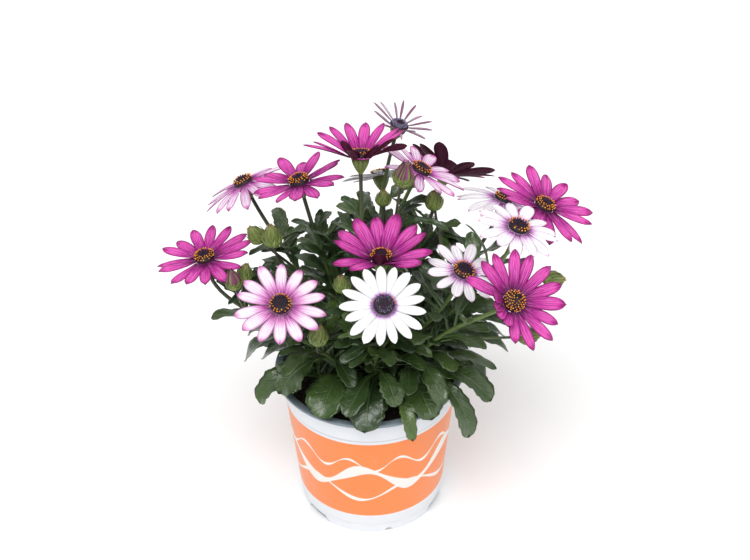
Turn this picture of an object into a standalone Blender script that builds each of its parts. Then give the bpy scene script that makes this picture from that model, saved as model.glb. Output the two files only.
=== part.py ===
"""A potted African daisy (osteospermum) in flower: pot, compost, leafy stems, buds and blooms.

Sizes are in millimetres and angles in degrees until a mesh is stored; MM turns them into metres.
The origin is the centre of the pot's underside, +Z is up and -Y is the side that faces the viewer.
A bloom is three solids: its ring of ray florets, its disc of tube florets, and the green cup that
carries them, which belongs to the leafy stem.
"""

import math
import random
from collections import namedtuple

import bmesh
import bpy
import numpy as np
from mathutils import Matrix, Vector
from mathutils.bvhtree import BVHTree

MM = 0.001
GAP = 0.3  # between two solids that rest on each other

# Pot: a thin plastic pot of 12 cm, with a flat lip, a stacking step and a drained foot
POT_SIDES = 32
POT_HEIGHT = 102.4
LIP_RADIUS = 60.0
LIP_THICKNESS = 2.0
WALL = 1.0
SHOULDER = ((56.4, POT_HEIGHT - LIP_THICKNESS), (55.0, 86.0), (54.2, 84.8))
FOOT_STEP = ((46.9, 8.0), (46.1, 7.0))
FOOT_RADIUS = 45.6
CHANNEL = (31.5, 40.5)  # inner and outer radius of the raised drain channel
CHANNEL_HEIGHT = 3.5
DRAIN_HOLES = 6
DRAIN_RADIUS = 3.0
DRAIN_SIDES = 6
FOOT_ARCHES = ((97, 219, 335), 13.0, 4.2)  # bearings, half width in degrees, height
FOOT_NICKS = ((43, 157, 283), 2.6, 2.2)

# Compost
SOIL_TOP = 92.0
SOIL_MOUND = 2.5
SOIL_SIDES = 24
HOLE_DEPTH = 12.0
HOLE_RADIUS = 2.0
HOLE_SIDES = 6

# Stems, cups and buds
STEM_RADIUS = 1.45
STALK_RADIUS = 1.0
STEM_POINTS = 8
CUP_HEIGHT = 9.0
CUP_SIDES = 8
PATH_STEPS = 32

# Flower heads
PLATE_RADIUS = 6.0
PLATE_THICKNESS = 1.1
PETAL_THICKNESS = 0.8
PETAL_STATIONS = (0.5, 0.88)
DISC_RADIUS = 6.1
DISC_SIDES = 12
DISC_RINGS = 8

# Leaves
LEAF_STATIONS = (0.28, 0.47, 0.60, 0.76, 0.91)
SMALL_STATIONS = (0.30, 0.60, 0.88)
LEAF_KEEL = 1.3
CLEARANCE = 0.7  # room kept round a leaf when its place is tested

Bloom = namedtuple("Bloom", "name kind head lean toward reach petals cup curl root")
Bud = namedtuple("Bud", "stem name at lean toward width height leaves_stem")
Shoot = namedtuple("Shoot", "name bearing root_radius height")

# head is the centre of the ray florets' base; lean is the head's tilt from upright, toward the bearing
# that it faces (270 is the viewer's side); cup lifts the rays out of their plane and curl bends them on.
BLOOMS = (
    Bloom("left", "pink", (-98, 2, 184), 8, 200, 30.0, 15, 2, 4, (-22, 2)),
    Bloom("back_left", "blush", (-75, 42, 212), 26, 158, 29.0, 15, -6, -14, (-16, 12)),
    Bloom("upper_left", "pink", (-39, 8, 233), 13, 160, 29.0, 14, 8, -4, (-11, 3)),
    Bloom("top", "pink", (-3, 4, 252), 16, 90, 31.0, 15, 34, -12, (-4, 8)),
    Bloom("top_faded", "faded", (20.5, 63, 239), 16, 345, 22.0, 15, 24, -8, (5, 17)),
    Bloom("upper_middle", "blush", (32, 19, 233), 28, 10, 28.0, 13, 6, -10, (8, 10)),
    Bloom("back_turned", "pink", (50, 72, 199), 50, 66, 30.0, 13, 24, -8, (11, 15)),
    Bloom("back_right", "white", (85, 48, 193), 22, 30, 30.0, 16, -8, -16, (18, 9)),
    Bloom("right", "pink", (105, 6, 215), 24, 348, 32.0, 15, 3, -4, (24, 2)),
    Bloom("right_white", "white", (86, -32, 225), 16, 345, 25.0, 13, 0, -8, (21, -4)),
    Bloom("middle", "pink", (8, -30, 204), 2, 270, 32.0, 13, 26, -2, (2, -9)),
    Bloom("front_white", "white", (9, -81, 208), 33, 272, 24.0, 17, 2, -4, (3, -21)),
    Bloom("front_right_white", "white", (55, -39, 200), 20, 318, 22.5, 12, 2, -10, (12, -10)),
    Bloom("front_right", "pink", (80, -79, 208), 44, 292, 30.5, 16, 6, -6, (18, -16)),
    Bloom("front_left", "blush", (-49, -63, 196), 24, 270, 27.3, 14, 4, -6, (-13, -14)),
    Bloom("back_middle", "white", (9, 79, 193), 40, 100, 25.0, 14, 4, -10, (-3, 20)),
)

# Petals unlike the rest of their bloom: middle angle, half range, more lift, more curl, length, more roll
FOLDS = {
    "front_right": ((222.0, 38.0, 20.0, 40.0, 0.62, 0.0), (285.0, 15.0, 0.0, 0.0, 0.74, 0.0)),
    "middle": ((263.0, 9.0, 44.0, 12.0, 0.45, 0.0), (291.0, 9.0, 8.0, 0.0, 0.60, 0.0)),
    "top": (
        (12.0, 9.0, 6.0, 0.0, 1.04, 0.0),
        (36.0, 9.0, 6.0, 0.0, 1.02, 0.0),
        (72.0, 18.0, 5.0, 0.0, 1.08, 0.0),
        (132.0, 9.0, 8.0, 0.0, 1.06, 0.0),
        (180.0, 9.0, -8.0, 0.0, 1.08, 0.0),
        (229.0, 9.0, 24.0, 8.0, 0.62, 0.0),
        (253.0, 9.0, 8.0, 0.0, 0.62, 0.0),
        (276.0, 9.0, -8.0, 0.0, 0.88, 0.0),
        (300.0, 9.0, 8.0, 0.0, 0.76, 0.0),
        (324.0, 9.0, 8.0, 0.0, 0.90, -20.0),
        (348.0, 9.0, -4.0, 0.0, 0.92, -75.0),
    ),
    "back_turned": (
        (235.0, 9.0, 0.0, 0.0, 1.10, 0.0),
        (262.0, 9.0, 0.0, 0.0, 0.50, 0.0),
        (291.0, 9.0, -8.0, 0.0, 0.88, 0.0),
        (318.0, 9.0, -4.0, 0.0, 1.22, 0.0),
        (347.0, 9.0, -4.0, 0.0, 1.15, 0.0),
    ),
}

# at is the middle of the bud; leaves_stem is how far up its stem (0 to 1) the stalk branches off.
BUDS = (
    Bud("upper_middle", "a", (22, -14, 252), 12, 350, 11.8, 17.0, 0.70),
    Bud("top", "a", (10, 10, 221), 4, 90, 8.8, 11.0, 0.40),
    Bud("right_white", "a", (40, 10, 219), 6, 200, 10.3, 14.0, 0.35),
    Bud("back_left", "a", (-56, -10, 209), 6, 200, 11.4, 16.0, 0.30),
    Bud("back_left", "b", (-67, 3, 201), 34, 190, 10.0, 14.0, 0.42),
    Bud("left", "a", (-79, -25, 188), 10, 180, 9.5, 14.0, 0.45),
    Bud("left", "b", (-74, -2, 177), 14, 30, 9.0, 13.0, 0.38),
    Bud("front_left", "a", (-29, -53, 168), 12, 300, 11.0, 16.0, 0.30),
    Bud("right", "a", (109, -35, 191), 70, 340, 10.0, 14.0, 0.45),
    Bud("front_right", "a", (95, -46, 159), 72, 345, 10.0, 15.0, 0.30),
    Bud("middle", "a", (-15, -36, 192), 8, 230, 9.5, 13.0, 0.35),
)

# Short shoots near the edge of the pot, whose large leaves arch over the lip; none stands at the front
SHOOTS = tuple(
    Shoot(f"rim_{i + 1}", 22.5 + 45.0 * i, 31.0 + 2.0 * (i % 2), 15.0 + 3.0 * (i % 3))
    for i in (0, 1, 2, 3, 4, 6, 7)
)

# Leaves that show over the lip on the viewer's side: the stem that carries the leaf, the share of that
# stem, the leaf's tip, its length over the straight distance, its width and its roll
FRONT_LEAVES = (
    ("left", 0.35, (-78, -6, 111), 1.12, 16, 15),
    ("front_left", 0.35, (-54, -42, 114), 1.10, 25, 0),
    ("rim_5", 1.0, (-68, -33, 99), 1.14, 17, 0),
    ("front_left", 0.32, (-10, -50, 124), 1.10, 11, 0),
    ("front_left", 0.13, (-29, -57, 106), 1.14, 24, 0),
    ("front_white", 0.25, (16, -56, 114), 1.10, 14.5, 0),
    ("front_white", 0.10, (-3, -65, 102), 1.20, 22, 0),
    ("front_right", 0.25, (43, -58, 116), 1.12, 13, 0),
    ("front_right", 0.08, (37, -58, 105), 1.14, 23, 0),
    ("rim_7", 1.0, (25, -64, 94), 1.22, 9, 0),
    ("rim_8", 1.0, (74, -38, 102), 1.10, 18, 0),
    ("rim_8", 0.6, (60, -47, 81), 1.28, 14, 0),
    ("right_white", 0.10, (78, -20, 110), 1.06, 11, 0),
)
BACK_SHOOTS = ("rim_1", "rim_2", "rim_3", "rim_4")  # their leaves are drawn by rule

Leaf = namedtuple("Leaf", "base bearing rise droop length width roll small placed")
Path = namedtuple("Path", "points tangents length")

COLOURS = {
    "pot": ((0.80, 0.81, 0.83), 0.45),
    "soil": ((0.035, 0.022, 0.015), 0.95),
    "green": ((0.060, 0.130, 0.035), 0.50),
    "pink": ((0.55, 0.07, 0.33), 0.55),
    "blush": ((0.80, 0.45, 0.68), 0.55),
    "white": ((0.86, 0.82, 0.86), 0.55),
    "faded": ((0.50, 0.36, 0.46), 0.60),
    "disc": ((0.060, 0.022, 0.060), 0.65),
}


def unit(v):
    v = np.asarray(v, float)
    return v / np.linalg.norm(v)


def heading(rise, bearing):
    """Unit vector that rises this much above the horizontal, toward a bearing measured from +X."""
    r, b = math.radians(rise), math.radians(bearing)
    return np.array([math.cos(r) * math.cos(b), math.cos(r) * math.sin(b), math.sin(r)])


def head_axes(axis):
    """Two directions across a head's axis, and the axis."""
    side = unit(np.cross([0.0, 1.0, 0.0] if abs(axis[1]) < 0.9 else [1.0, 0.0, 0.0], axis))
    return side, np.cross(axis, side), axis


def material(name):
    found = bpy.data.materials.get(name)
    if found:
        return found
    made = bpy.data.materials.new(name)
    made.use_nodes = True
    colour, roughness = COLOURS[name]
    shader = made.node_tree.nodes["Principled BSDF"]
    shader.inputs["Base Color"].default_value = (*colour, 1.0)
    shader.inputs["Roughness"].default_value = roughness
    shader.inputs["Metallic"].default_value = 0.0
    return made


def add_object(name, mesh, collection, colour=None):
    made = bpy.data.objects.new(name, mesh)
    collection.objects.link(made)
    if colour:
        mesh.materials.clear()
        mesh.materials.append(material(colour))
    return made


def mesh_from(bm, name):
    """Stores a bmesh drawn in millimetres as a mesh in metres."""
    bmesh.ops.scale(bm, vec=(MM, MM, MM), verts=bm.verts)
    bmesh.ops.recalc_face_normals(bm, faces=bm.faces)
    mesh = bpy.data.meshes.new(name)
    bm.to_mesh(mesh)
    bm.free()
    return mesh


def evaluated_mesh(obj):
    """The object's mesh with its modifiers, in world space; the object is then removed."""
    graph = bpy.context.evaluated_depsgraph_get()
    mesh = bpy.data.meshes.new_from_object(obj.evaluated_get(graph))
    mesh.transform(obj.matrix_world)
    bpy.data.objects.remove(obj)
    return mesh


def pull(bm, face, stations):
    """Extrudes a face through a row of stations; each is one point for each corner of the face."""
    for points in stations:
        face = bmesh.ops.extrude_discrete_faces(bm, faces=[face])["faces"][0]
        for vert, point in zip(face.verts, points):
            vert.co = Vector(point)
    return face


def turned(profile, sides, name):
    """A closed mesh turned about Z from a profile of (radius, height) that runs down its outer side."""
    mesh = bpy.data.meshes.new(name)
    points = [(r * MM, 0.0, z * MM) for r, z in profile]
    mesh.from_pydata(points, [(i, i + 1) for i in range(len(points) - 1)], [])
    obj = add_object(name, mesh, bpy.context.scene.collection)
    screw = obj.modifiers.new("turn", "SCREW")
    screw.steps = screw.render_steps = sides
    screw.use_merge_vertices = True
    screw.merge_threshold = 0.00001
    bpy.context.view_layer.update()
    made = evaluated_mesh(obj)
    bm = bmesh.new()
    bm.from_mesh(made)
    bmesh.ops.remove_doubles(bm, verts=bm.verts, dist=0.00001)
    bmesh.ops.recalc_face_normals(bm, faces=bm.faces)
    bm.to_mesh(made)
    bm.free()
    return made


def placed(mesh, at, axis):
    """Moves a mesh that stands on the origin along +Z to a point, with its own Z along an axis."""
    columns = head_axes(unit(axis))
    turn = Matrix([[*row, 0.0] for row in np.array(columns).T] + [[0.0, 0.0, 0.0, 1.0]])
    mesh.transform(Matrix.Translation(Vector(at) * MM) @ turn)
    return mesh


# Stems: smooth curves from the compost to a head


def bezier_path(a, b, c, d):
    t = np.linspace(0.0, 1.0, PATH_STEPS + 1)[:, None]
    a, b, c, d = (np.asarray(p, float) for p in (a, b, c, d))
    points = (1 - t) ** 3 * a + 3 * (1 - t) ** 2 * t * b + 3 * (1 - t) * t**2 * c + t**3 * d
    tangents = np.gradient(points, axis=0)
    tangents /= np.linalg.norm(tangents, axis=1)[:, None]
    length = float(np.linalg.norm(np.diff(points, axis=0), axis=1).sum())
    return Path(points, tangents, length)


def on_path(path, share):
    """Point and direction at a share of a path, from 0 at its foot to 1 at its head."""
    k = share * PATH_STEPS
    i = min(int(k), PATH_STEPS - 1)
    f = k - i
    return (
        (1 - f) * path.points[i] + f * path.points[i + 1],
        unit((1 - f) * path.tangents[i] + f * path.tangents[i + 1]),
    )


def bloom_axis(bloom):
    return heading(90 - bloom.lean, bloom.toward)


def bloom_path(bloom):
    """From just over the compost to the foot of the bloom's cup."""
    axis = bloom_axis(bloom)
    foot = np.array([*bloom.root, SOIL_TOP + 1.5])
    neck = np.array(bloom.head, float) - axis * (CUP_HEIGHT - 1.0)
    reach = np.linalg.norm(neck - foot)
    lift = np.array([0.10 * (neck[0] - foot[0]), 0.10 * (neck[1] - foot[1]), 0.36 * reach])
    return bezier_path(foot, foot + lift, neck - axis * 0.36 * reach, neck)


def bud_path(bud, stem):
    """From a point inside the stem to the foot of the bud."""
    axis = heading(90 - bud.lean, bud.toward)
    start, along = on_path(stem, bud.leaves_stem)
    end = np.array(bud.at, float) - axis * bud.height * 0.42
    reach = np.linalg.norm(end - start)
    return bezier_path(start, start + along * 0.40 * reach, end - axis * 0.35 * reach, end)


def shoot_path(shoot):
    foot = heading(0, shoot.bearing) * shoot.root_radius
    foot[2] = SOIL_TOP + 1.5
    top = foot + heading(0, shoot.bearing) * 4.0 + np.array([0, 0, shoot.height])
    return bezier_path(foot, foot + [0, 0, 5.0], top - [0, 0, 5.0], top)


def tube(path, radius, name, points=STEM_POINTS, rooted=True):
    """A stem: a bevelled poly curve, stored as a mesh with its end caps welded on.

    A rooted stem also runs straight down into its hole in the compost.
    """
    line = [on_path(path, i / (points - 1))[0] for i in range(points)]
    if rooted:
        line.insert(0, np.array([*line[0][:2], SOIL_TOP - HOLE_DEPTH + GAP]))
    curve = bpy.data.curves.new(name, "CURVE")
    curve.dimensions = "3D"
    curve.bevel_depth = radius * MM
    curve.bevel_resolution = 1
    curve.use_fill_caps = True
    spline = curve.splines.new("POLY")
    spline.points.add(len(line) - 1)
    for point, place in zip(spline.points, line):
        point.co = (*(place * MM), 1.0)
    obj = add_object(name, curve, bpy.context.scene.collection)
    bpy.context.view_layer.update()
    mesh = evaluated_mesh(obj)
    bm = bmesh.new()
    bm.from_mesh(mesh)
    bmesh.ops.remove_doubles(bm, verts=bm.verts, dist=0.00001)
    bmesh.ops.recalc_face_normals(bm, faces=bm.faces)
    bm.to_mesh(mesh)
    bm.free()
    return mesh


def ridged(mesh, sides, depth):
    """Draws in every other line of a turned mesh, so that it shows bracts."""
    for vert in mesh.vertices:
        x, y = vert.co.x, vert.co.y
        if math.hypot(x, y) > 0.0005:
            line = round(math.degrees(math.atan2(y, x)) / (360.0 / sides))
            factor = 1.0 - depth * (line % 2)
            vert.co.x, vert.co.y = x * factor, y * factor
    return mesh


def cup(bloom):
    """The green cup under a bloom, with its foot on the origin."""
    top = CUP_HEIGHT - GAP
    profile = ((0, top), (5.6, top), (5.3, top - 2.6), (3.7, top - 5.8), (1.7, 0), (0, 0))
    mesh = ridged(turned(profile, CUP_SIDES, "cup"), CUP_SIDES, 0.12)
    return placed(mesh, np.array(bloom.head) - bloom_axis(bloom) * CUP_HEIGHT, bloom_axis(bloom))


def bud_body(bud):
    """A closed bud: overlapping bracts drawn as ridges that meet in a point."""
    w, h = bud.width / 2, bud.height
    shape = ((0, 1), (0.42, 0.86), (0.88, 0.52), (1, 0.30), (0.62, 0.06), (0, 0))
    profile = [(r * w, z * h) for r, z in shape]
    mesh = ridged(turned(profile, CUP_SIDES, "bud"), CUP_SIDES, 0.14)
    axis = heading(90 - bud.lean, bud.toward)
    return placed(mesh, np.array(bud.at) - axis * h / 2, axis)


# Leaves: spatulate, toothed, arched down from the stem


def leaf_width(s):
    """Half width of a leaf along its length, as a share of the widest."""
    stalk = 0.15
    if s < 0.68:
        t = max(0.0, (s - 0.18) / 0.50)
        return stalk + (1 - stalk) * t * t * (3 - 2 * t)
    return math.sqrt(max(0.0, 1 - ((s - 0.68) / 0.33) ** 2))


def rolled(side, up, angle):
    """Two directions across a blade, turned about its length."""
    c, s = math.cos(math.radians(angle)), math.sin(math.radians(angle))
    return side * c + up * s, up * c - side * s


def leaf_spine(leaf, s):
    """Centre, side and upward normal of a leaf at a share of its length."""
    steps = 8
    point = np.array(leaf.base, float)
    for k in range(steps):
        rise = leaf.rise - leaf.droop * s * (k + 0.5) / steps
        point = point + heading(rise, leaf.bearing) * leaf.length * s / steps
    along = heading(leaf.rise - leaf.droop * s, leaf.bearing)
    side = heading(0, leaf.bearing + 90)
    return point, *rolled(side, np.cross(along, side), leaf.roll)


def leaf_stations(leaf, grow=0.0):
    """Rings of left edge, right edge and keel, and the tip; grow pads them for testing."""
    rings = []
    stations = SMALL_STATIONS if leaf.small else LEAF_STATIONS
    for k, s in enumerate((0.0, *stations)):
        centre, side, up = leaf_spine(leaf, s)
        half = leaf.width / 2 * leaf_width(s) + grow
        tooth = 0.0 if leaf.small or k in (0, 1, len(stations)) else 0.16 * (-1) ** k
        fold = up * (0.10 * half + grow)
        left = centre + side * half * (1 + tooth) + fold
        right = centre - side * half * (1 - tooth) + fold
        keel = centre - up * (LEAF_KEEL * (1 - 0.45 * s) + grow)
        rings.append((left, right, keel))
    tip = leaf_spine(leaf, 1.0)[0]
    return rings, tip


def leaf_mesh(leaf):
    rings, tip = leaf_stations(leaf)
    bm = bmesh.new()
    root = bm.faces.new([bm.verts.new(p) for p in rings[0]])
    bm.faces.ensure_lookup_table()
    end = bmesh.ops.extrude_face_region(bm, geom=[root])
    corners = [g for g in end["geom"] if isinstance(g, bmesh.types.BMVert)]
    face = next(g for g in end["geom"] if isinstance(g, bmesh.types.BMFace))
    for vert in corners:
        nearest = min(range(3), key=lambda i: (vert.co - Vector(rings[0][i])).length)
        vert.co = Vector(rings[1][nearest])
    order = [min(range(3), key=lambda i: (v.co - Vector(rings[1][i])).length) for v in face.verts]
    face = pull(bm, face, [[ring[i] for i in order] for ring in rings[2:]])
    bmesh.ops.poke(bm, faces=[face])
    bm.verts.ensure_lookup_table()
    bm.verts[-1].co = Vector(tip)
    return mesh_from(bm, "leaf")


def leaf_body(leaf):
    """The leaf's padded outline, for testing whether its place is free."""
    rings, tip = leaf_stations(leaf, CLEARANCE)
    points = [p for ring in rings for p in ring] + [tip]
    faces = []
    for k in range(len(rings) - 1):
        for i in range(3):
            a, b = 3 * k + i, 3 * k + (i + 1) % 3
            faces.append((a, b, b + 3, a + 3))
    last = 3 * (len(rings) - 1)
    faces += [(last + i, last + (i + 1) % 3, len(points) - 1) for i in range(3)]
    return (*bounds(points), BVHTree.FromPolygons([tuple(p) for p in points], faces))


def leaf_choices(leaf):
    """The leaf where it would grow, then the same leaf turned, lifted or smaller, to find free space."""
    scales, lifts, turns = (1.0, 0.85, 0.7), (0, 12, -10, 24), (0, 14, -14, 28, -28, 44, -44)
    if leaf.placed:
        scales, lifts, turns = (1.0, 0.92, 0.84), (0, 5, -4, 10, 16, 24), (0, 4, -4, 8, -8, 13, -13)
    for scale in scales:
        for lift in lifts:
            for turn in turns:
                yield leaf._replace(
                    bearing=leaf.bearing + turn,
                    rise=leaf.rise + lift,
                    length=leaf.length * scale,
                    width=leaf.width * (0.5 + 0.5 * scale),
                )


def stem_leaves(name, path, first, last, count, out_bearing, spread):
    """Leaves up a stem in a spiral that favours the side away from the middle of the plant."""
    draw = random.Random("leaves " + name)
    for i in range(count):
        share = first + (last - first) * i / max(1, count - 1)
        base, _ = on_path(path, share)
        height = (base[2] - SOIL_TOP) / 100.0
        turn = ((i * 137.5 + draw.uniform(-15, 15)) % 360) - 180
        length = max(24.0, 50.0 - 22.0 * height) * draw.uniform(0.9, 1.1)
        yield Leaf(
            tuple(base),
            out_bearing + turn * spread,
            52.0 - 22.0 * math.cos(math.radians(turn)) + draw.uniform(-6, 6) + 14 * height,
            62.0 + draw.uniform(-12, 14) - 22 * height,
            length,
            length * draw.uniform(0.36, 0.44),
            draw.uniform(-14, 14),
            length < 33.0,
            False,
        )


def shoot_leaves(shoot, path):
    """Four large leaves that fan out and arch over the pot's lip."""
    draw = random.Random("leaves " + shoot.name)
    for i, turn in enumerate((0, -25, 24, 150)):
        base, _ = on_path(path, (0.98, 0.80, 0.88, 0.94)[i])
        length = (54.0, 50.0, 49.0, 34.0)[i] * draw.uniform(0.92, 1.08)
        yield Leaf(
            tuple(base),
            shoot.bearing + turn + draw.uniform(-5, 5),
            (38.0, 30.0, 34.0, 66.0)[i] + draw.uniform(-5, 5),
            (88.0, 70.0, 74.0, 50.0)[i] + draw.uniform(-8, 8),
            length,
            length * draw.uniform(0.42, 0.50),
            draw.uniform(-10, 10),
            False,
            False,
        )


def arched_leaf(base, tip, slack, width, roll):
    """A leaf that arches from its base to its tip; slack is its length over the straight distance."""
    span = np.asarray(tip, float) - base
    chord = float(np.linalg.norm(span))
    half = math.sqrt(6 * (1 - 1 / slack))
    for _ in range(8):
        fault = math.sin(half) / half - 1 / slack
        half -= fault * half**2 / (half * math.cos(half) - math.sin(half))
    bearing = math.degrees(math.atan2(span[1], span[0]))
    rise = math.degrees(math.asin(span[2] / chord) + half)
    return Leaf(tuple(base), bearing, rise, 2 * math.degrees(half), chord * slack, width, roll, False, True)


def all_leaves(stems, shoots):
    """(name of the stem, leaf) of every leaf that may grow, in the order in which they find their places."""
    for name, share, *shape in FRONT_LEAVES:
        base, _ = on_path((shoots if name in shoots else stems)[name], share)
        yield name, arched_leaf(base, *shape)
    for shoot in SHOOTS:
        if shoot.name in BACK_SHOOTS:
            for leaf in shoot_leaves(shoot, shoots[shoot.name]):
                yield shoot.name, leaf
    for bloom in BLOOMS:
        x, y, _ = bloom.head
        outward = math.degrees(math.atan2(y, x))
        spread = 0.95 if math.hypot(x, y) < 45 else 0.62
        for leaf in stem_leaves(bloom.name, stems[bloom.name], 0.10, 0.66, 7, outward, spread):
            yield bloom.name, leaf


# Flower heads


def petal_width(s):
    """Half width of a ray floret along its length, as a share of the widest."""
    if s < 0.62:
        return 0.40 + 0.60 * math.sin(math.pi / 2 * s / 0.62)
    return max(0.0, 1 - ((s - 0.62) / 0.38) ** 2.6) ** 0.6


def petal_plan(bloom):
    """Angle, length, width, lift and roll of each ray floret."""
    draw = random.Random("petals " + bloom.name)
    slim = 0.32 if bloom.kind == "faded" else 0.92
    step = 360.0 / bloom.petals
    for i in range(bloom.petals):
        length = (bloom.reach - PLATE_RADIUS) * draw.uniform(0.93, 1.05)
        widest = 2 * math.pi * (PLATE_RADIUS + 0.50 * length) / bloom.petals
        petal = {
            "angle": (i + 0.5) * step + draw.uniform(-0.04, 0.04) * step,
            "length": length,
            "width": slim * widest * draw.uniform(0.90, 1.0),
            "lift": bloom.cup + draw.uniform(-5, 5) + 3 * (-1) ** i,
            "curl": bloom.curl + draw.uniform(-8, 8),
            "roll": draw.uniform(-9, 9),
        }
        for middle, half_range, more_lift, more_curl, share, more_roll in FOLDS.get(bloom.name, ()):
            if abs(petal["angle"] - middle) <= half_range:
                petal["length"] *= share
                petal["lift"] += more_lift
                petal["curl"] += more_curl
                petal["roll"] += more_roll
        yield petal


def petal_spine(petal, s):
    """Centre, side and upward normal of a ray floret in its head's own frame."""
    steps = 6
    radius, height = PLATE_RADIUS, PLATE_THICKNESS / 2
    for k in range(steps):
        lift = math.radians(petal["lift"] + petal["curl"] * s * (k + 0.5) / steps)
        radius += math.cos(lift) * petal["length"] * s / steps
        height += math.sin(lift) * petal["length"] * s / steps
    lift = math.radians(petal["lift"] + petal["curl"] * s)
    angle = math.radians(petal["angle"])
    out = np.array([math.cos(angle), math.sin(angle), 0.0])
    side = np.array([-math.sin(angle), math.cos(angle), 0.0])
    up = np.array([0, 0, math.cos(lift)]) - out * math.sin(lift)
    centre = out * radius + np.array([0, 0, height])
    return centre, *rolled(side, up, petal["roll"] * s)


def rays(bloom):
    """The ring of ray florets, pulled out of the sides of the plate that they grow from."""
    bm = bmesh.new()
    turn = Matrix.Translation((0, 0, PLATE_THICKNESS / 2)) @ Matrix.Rotation(-math.pi / 2, 4, "Z")
    bmesh.ops.create_cone(
        bm,
        cap_ends=True,
        segments=bloom.petals,
        radius1=PLATE_RADIUS,
        radius2=PLATE_RADIUS,
        depth=PLATE_THICKNESS,
        matrix=turn,
    )
    step = 360.0 / bloom.petals
    sides = {}
    for face in bm.faces:
        if abs(face.normal.z) < 0.5:
            middle = face.calc_center_median()
            sides[int(math.degrees(math.atan2(middle.y, middle.x)) % 360 / step)] = face
    for i, petal in enumerate(petal_plan(bloom)):
        face = sides[i]
        _, side, up = petal_spine(petal, 0.0)
        middle = face.calc_center_median()
        off = [v.co - middle for v in face.verts]
        signs = [(math.copysign(1, o.dot(Vector(side))), math.copysign(1, o.dot(Vector(up)))) for o in off]
        stations = []
        for s in (*PETAL_STATIONS, 1.0):
            centre, side, up = petal_spine(petal, s)
            half = petal["width"] / 2 * petal_width(s)
            stations.append([centre + side * half * a + up * PETAL_THICKNESS / 2 * b for a, b in signs])
        tip = pull(bm, face, stations)
        bmesh.ops.remove_doubles(bm, verts=tip.verts, dist=0.01)
    return placed(mesh_from(bm, "rays"), bloom.head, bloom_axis(bloom))


def disc(bloom):
    """The dome of tube florets: its outer rings stand out of it as knobs."""
    bm = bmesh.new()
    bmesh.ops.create_uvsphere(bm, u_segments=DISC_SIDES, v_segments=DISC_RINGS, radius=DISC_RADIUS)
    everything = bm.verts[:] + bm.edges[:] + bm.faces[:]
    cut = bmesh.ops.bisect_plane(
        bm, geom=everything, plane_co=(0, 0, 0), plane_no=(0, 0, -1), clear_outer=True
    )
    bmesh.ops.contextual_create(bm, geom=[g for g in cut["geom_cut"] if isinstance(g, bmesh.types.BMEdge)])
    for vert in bm.verts:
        across = math.hypot(vert.co.x, vert.co.y) / DISC_RADIUS
        line = round(math.degrees(math.atan2(vert.co.y, vert.co.x)) / (360.0 / DISC_SIDES))
        ring = round(math.degrees(math.asin(min(1.0, across))) / (180 / DISC_RINGS))
        knob = 0.45 * (-1) ** (line + ring) if across > 0.5 and vert.co.z > 0.01 else 0.0
        dome = 0.62 * vert.co.z - 1.1 * (1 - across) ** 2
        vert.co.z = max(0.0, dome + knob) if vert.co.z > 0.01 else 0.0
        factor = 1.0 + (0.05 * (-1) ** (line + ring) if across > 0.5 else 0.0) - 0.04
        vert.co.x, vert.co.y = vert.co.x * factor, vert.co.y * factor
    axis = bloom_axis(bloom)
    seat = np.array(bloom.head) + axis * (PLATE_THICKNESS + GAP)
    return placed(mesh_from(bm, "disc"), seat, axis)


# Pot and compost


def pot_profiles():
    """Outer and inner outlines of the pot as (radius, height), from the lip down to the axis."""
    inner_channel, outer_channel = CHANNEL
    outer = [
        (LIP_RADIUS, POT_HEIGHT),
        (LIP_RADIUS, POT_HEIGHT - LIP_THICKNESS),
        *SHOULDER,
        *FOOT_STEP,
        (FOOT_RADIUS, 0),
        (outer_channel + 1, 0),
        (outer_channel, CHANNEL_HEIGHT),
        (inner_channel, CHANNEL_HEIGHT),
        (inner_channel - 1, 0),
        (0, 0),
    ]
    inner = [
        (SHOULDER[0][0] - WALL, POT_HEIGHT),
        *((r - WALL, z + 0.2) for r, z in (*SHOULDER, *FOOT_STEP)),
        (FOOT_RADIUS - WALL, WALL),
        (outer_channel + 1.6, WALL),
        (outer_channel + 0.6, CHANNEL_HEIGHT + WALL),
        (inner_channel - 0.6, CHANNEL_HEIGHT + WALL),
        (inner_channel - 1.6, WALL),
        (0, WALL),
    ]
    return outer, inner


def wedge_cutter(name, bearing, half_angle, height, collection):
    """A block across the pot's foot that leaves an arch."""
    bm = bmesh.new()
    bmesh.ops.create_cube(bm, size=1.0)
    width = 2 * FOOT_RADIUS * math.sin(math.radians(half_angle))
    size = (FOOT_RADIUS - CHANNEL[1] + 4.0, width, height + 2.0)
    middle = ((FOOT_RADIUS + CHANNEL[1]) / 2 + 1.2, 0, (height - 2.0) / 2)
    turn = Matrix.Rotation(math.radians(bearing), 3, "Z")
    bmesh.ops.scale(bm, vec=size, verts=bm.verts)
    bmesh.ops.translate(bm, vec=middle, verts=bm.verts)
    for vert in bm.verts:
        if vert.co.z > 0:
            vert.co.y *= 0.72
    bmesh.ops.rotate(bm, cent=(0, 0, 0), matrix=turn, verts=bm.verts)
    return cutter(mesh_from(bm, name), name, collection)


def cutter(mesh, name, collection):
    made = add_object(name, mesh, collection)
    made.hide_render = True
    made.display_type = "WIRE"
    return made


def post(name, x, y, radius, low, high, sides, collection):
    bm = bmesh.new()
    middle = Matrix.Translation((x, y, (low + high) / 2))
    bmesh.ops.create_cone(
        bm,
        cap_ends=True,
        segments=sides,
        radius1=radius,
        radius2=radius,
        depth=high - low,
        matrix=middle,
    )
    return cutter(mesh_from(bm, name), name, collection)


def cut(obj, cutters):
    """Cuts a collection of cutters out of an object."""
    modifier = obj.modifiers.new("cut", "BOOLEAN")
    modifier.operation = "DIFFERENCE"
    modifier.operand_type = "COLLECTION"
    modifier.collection = cutters
    modifier.solver = "EXACT"


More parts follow.
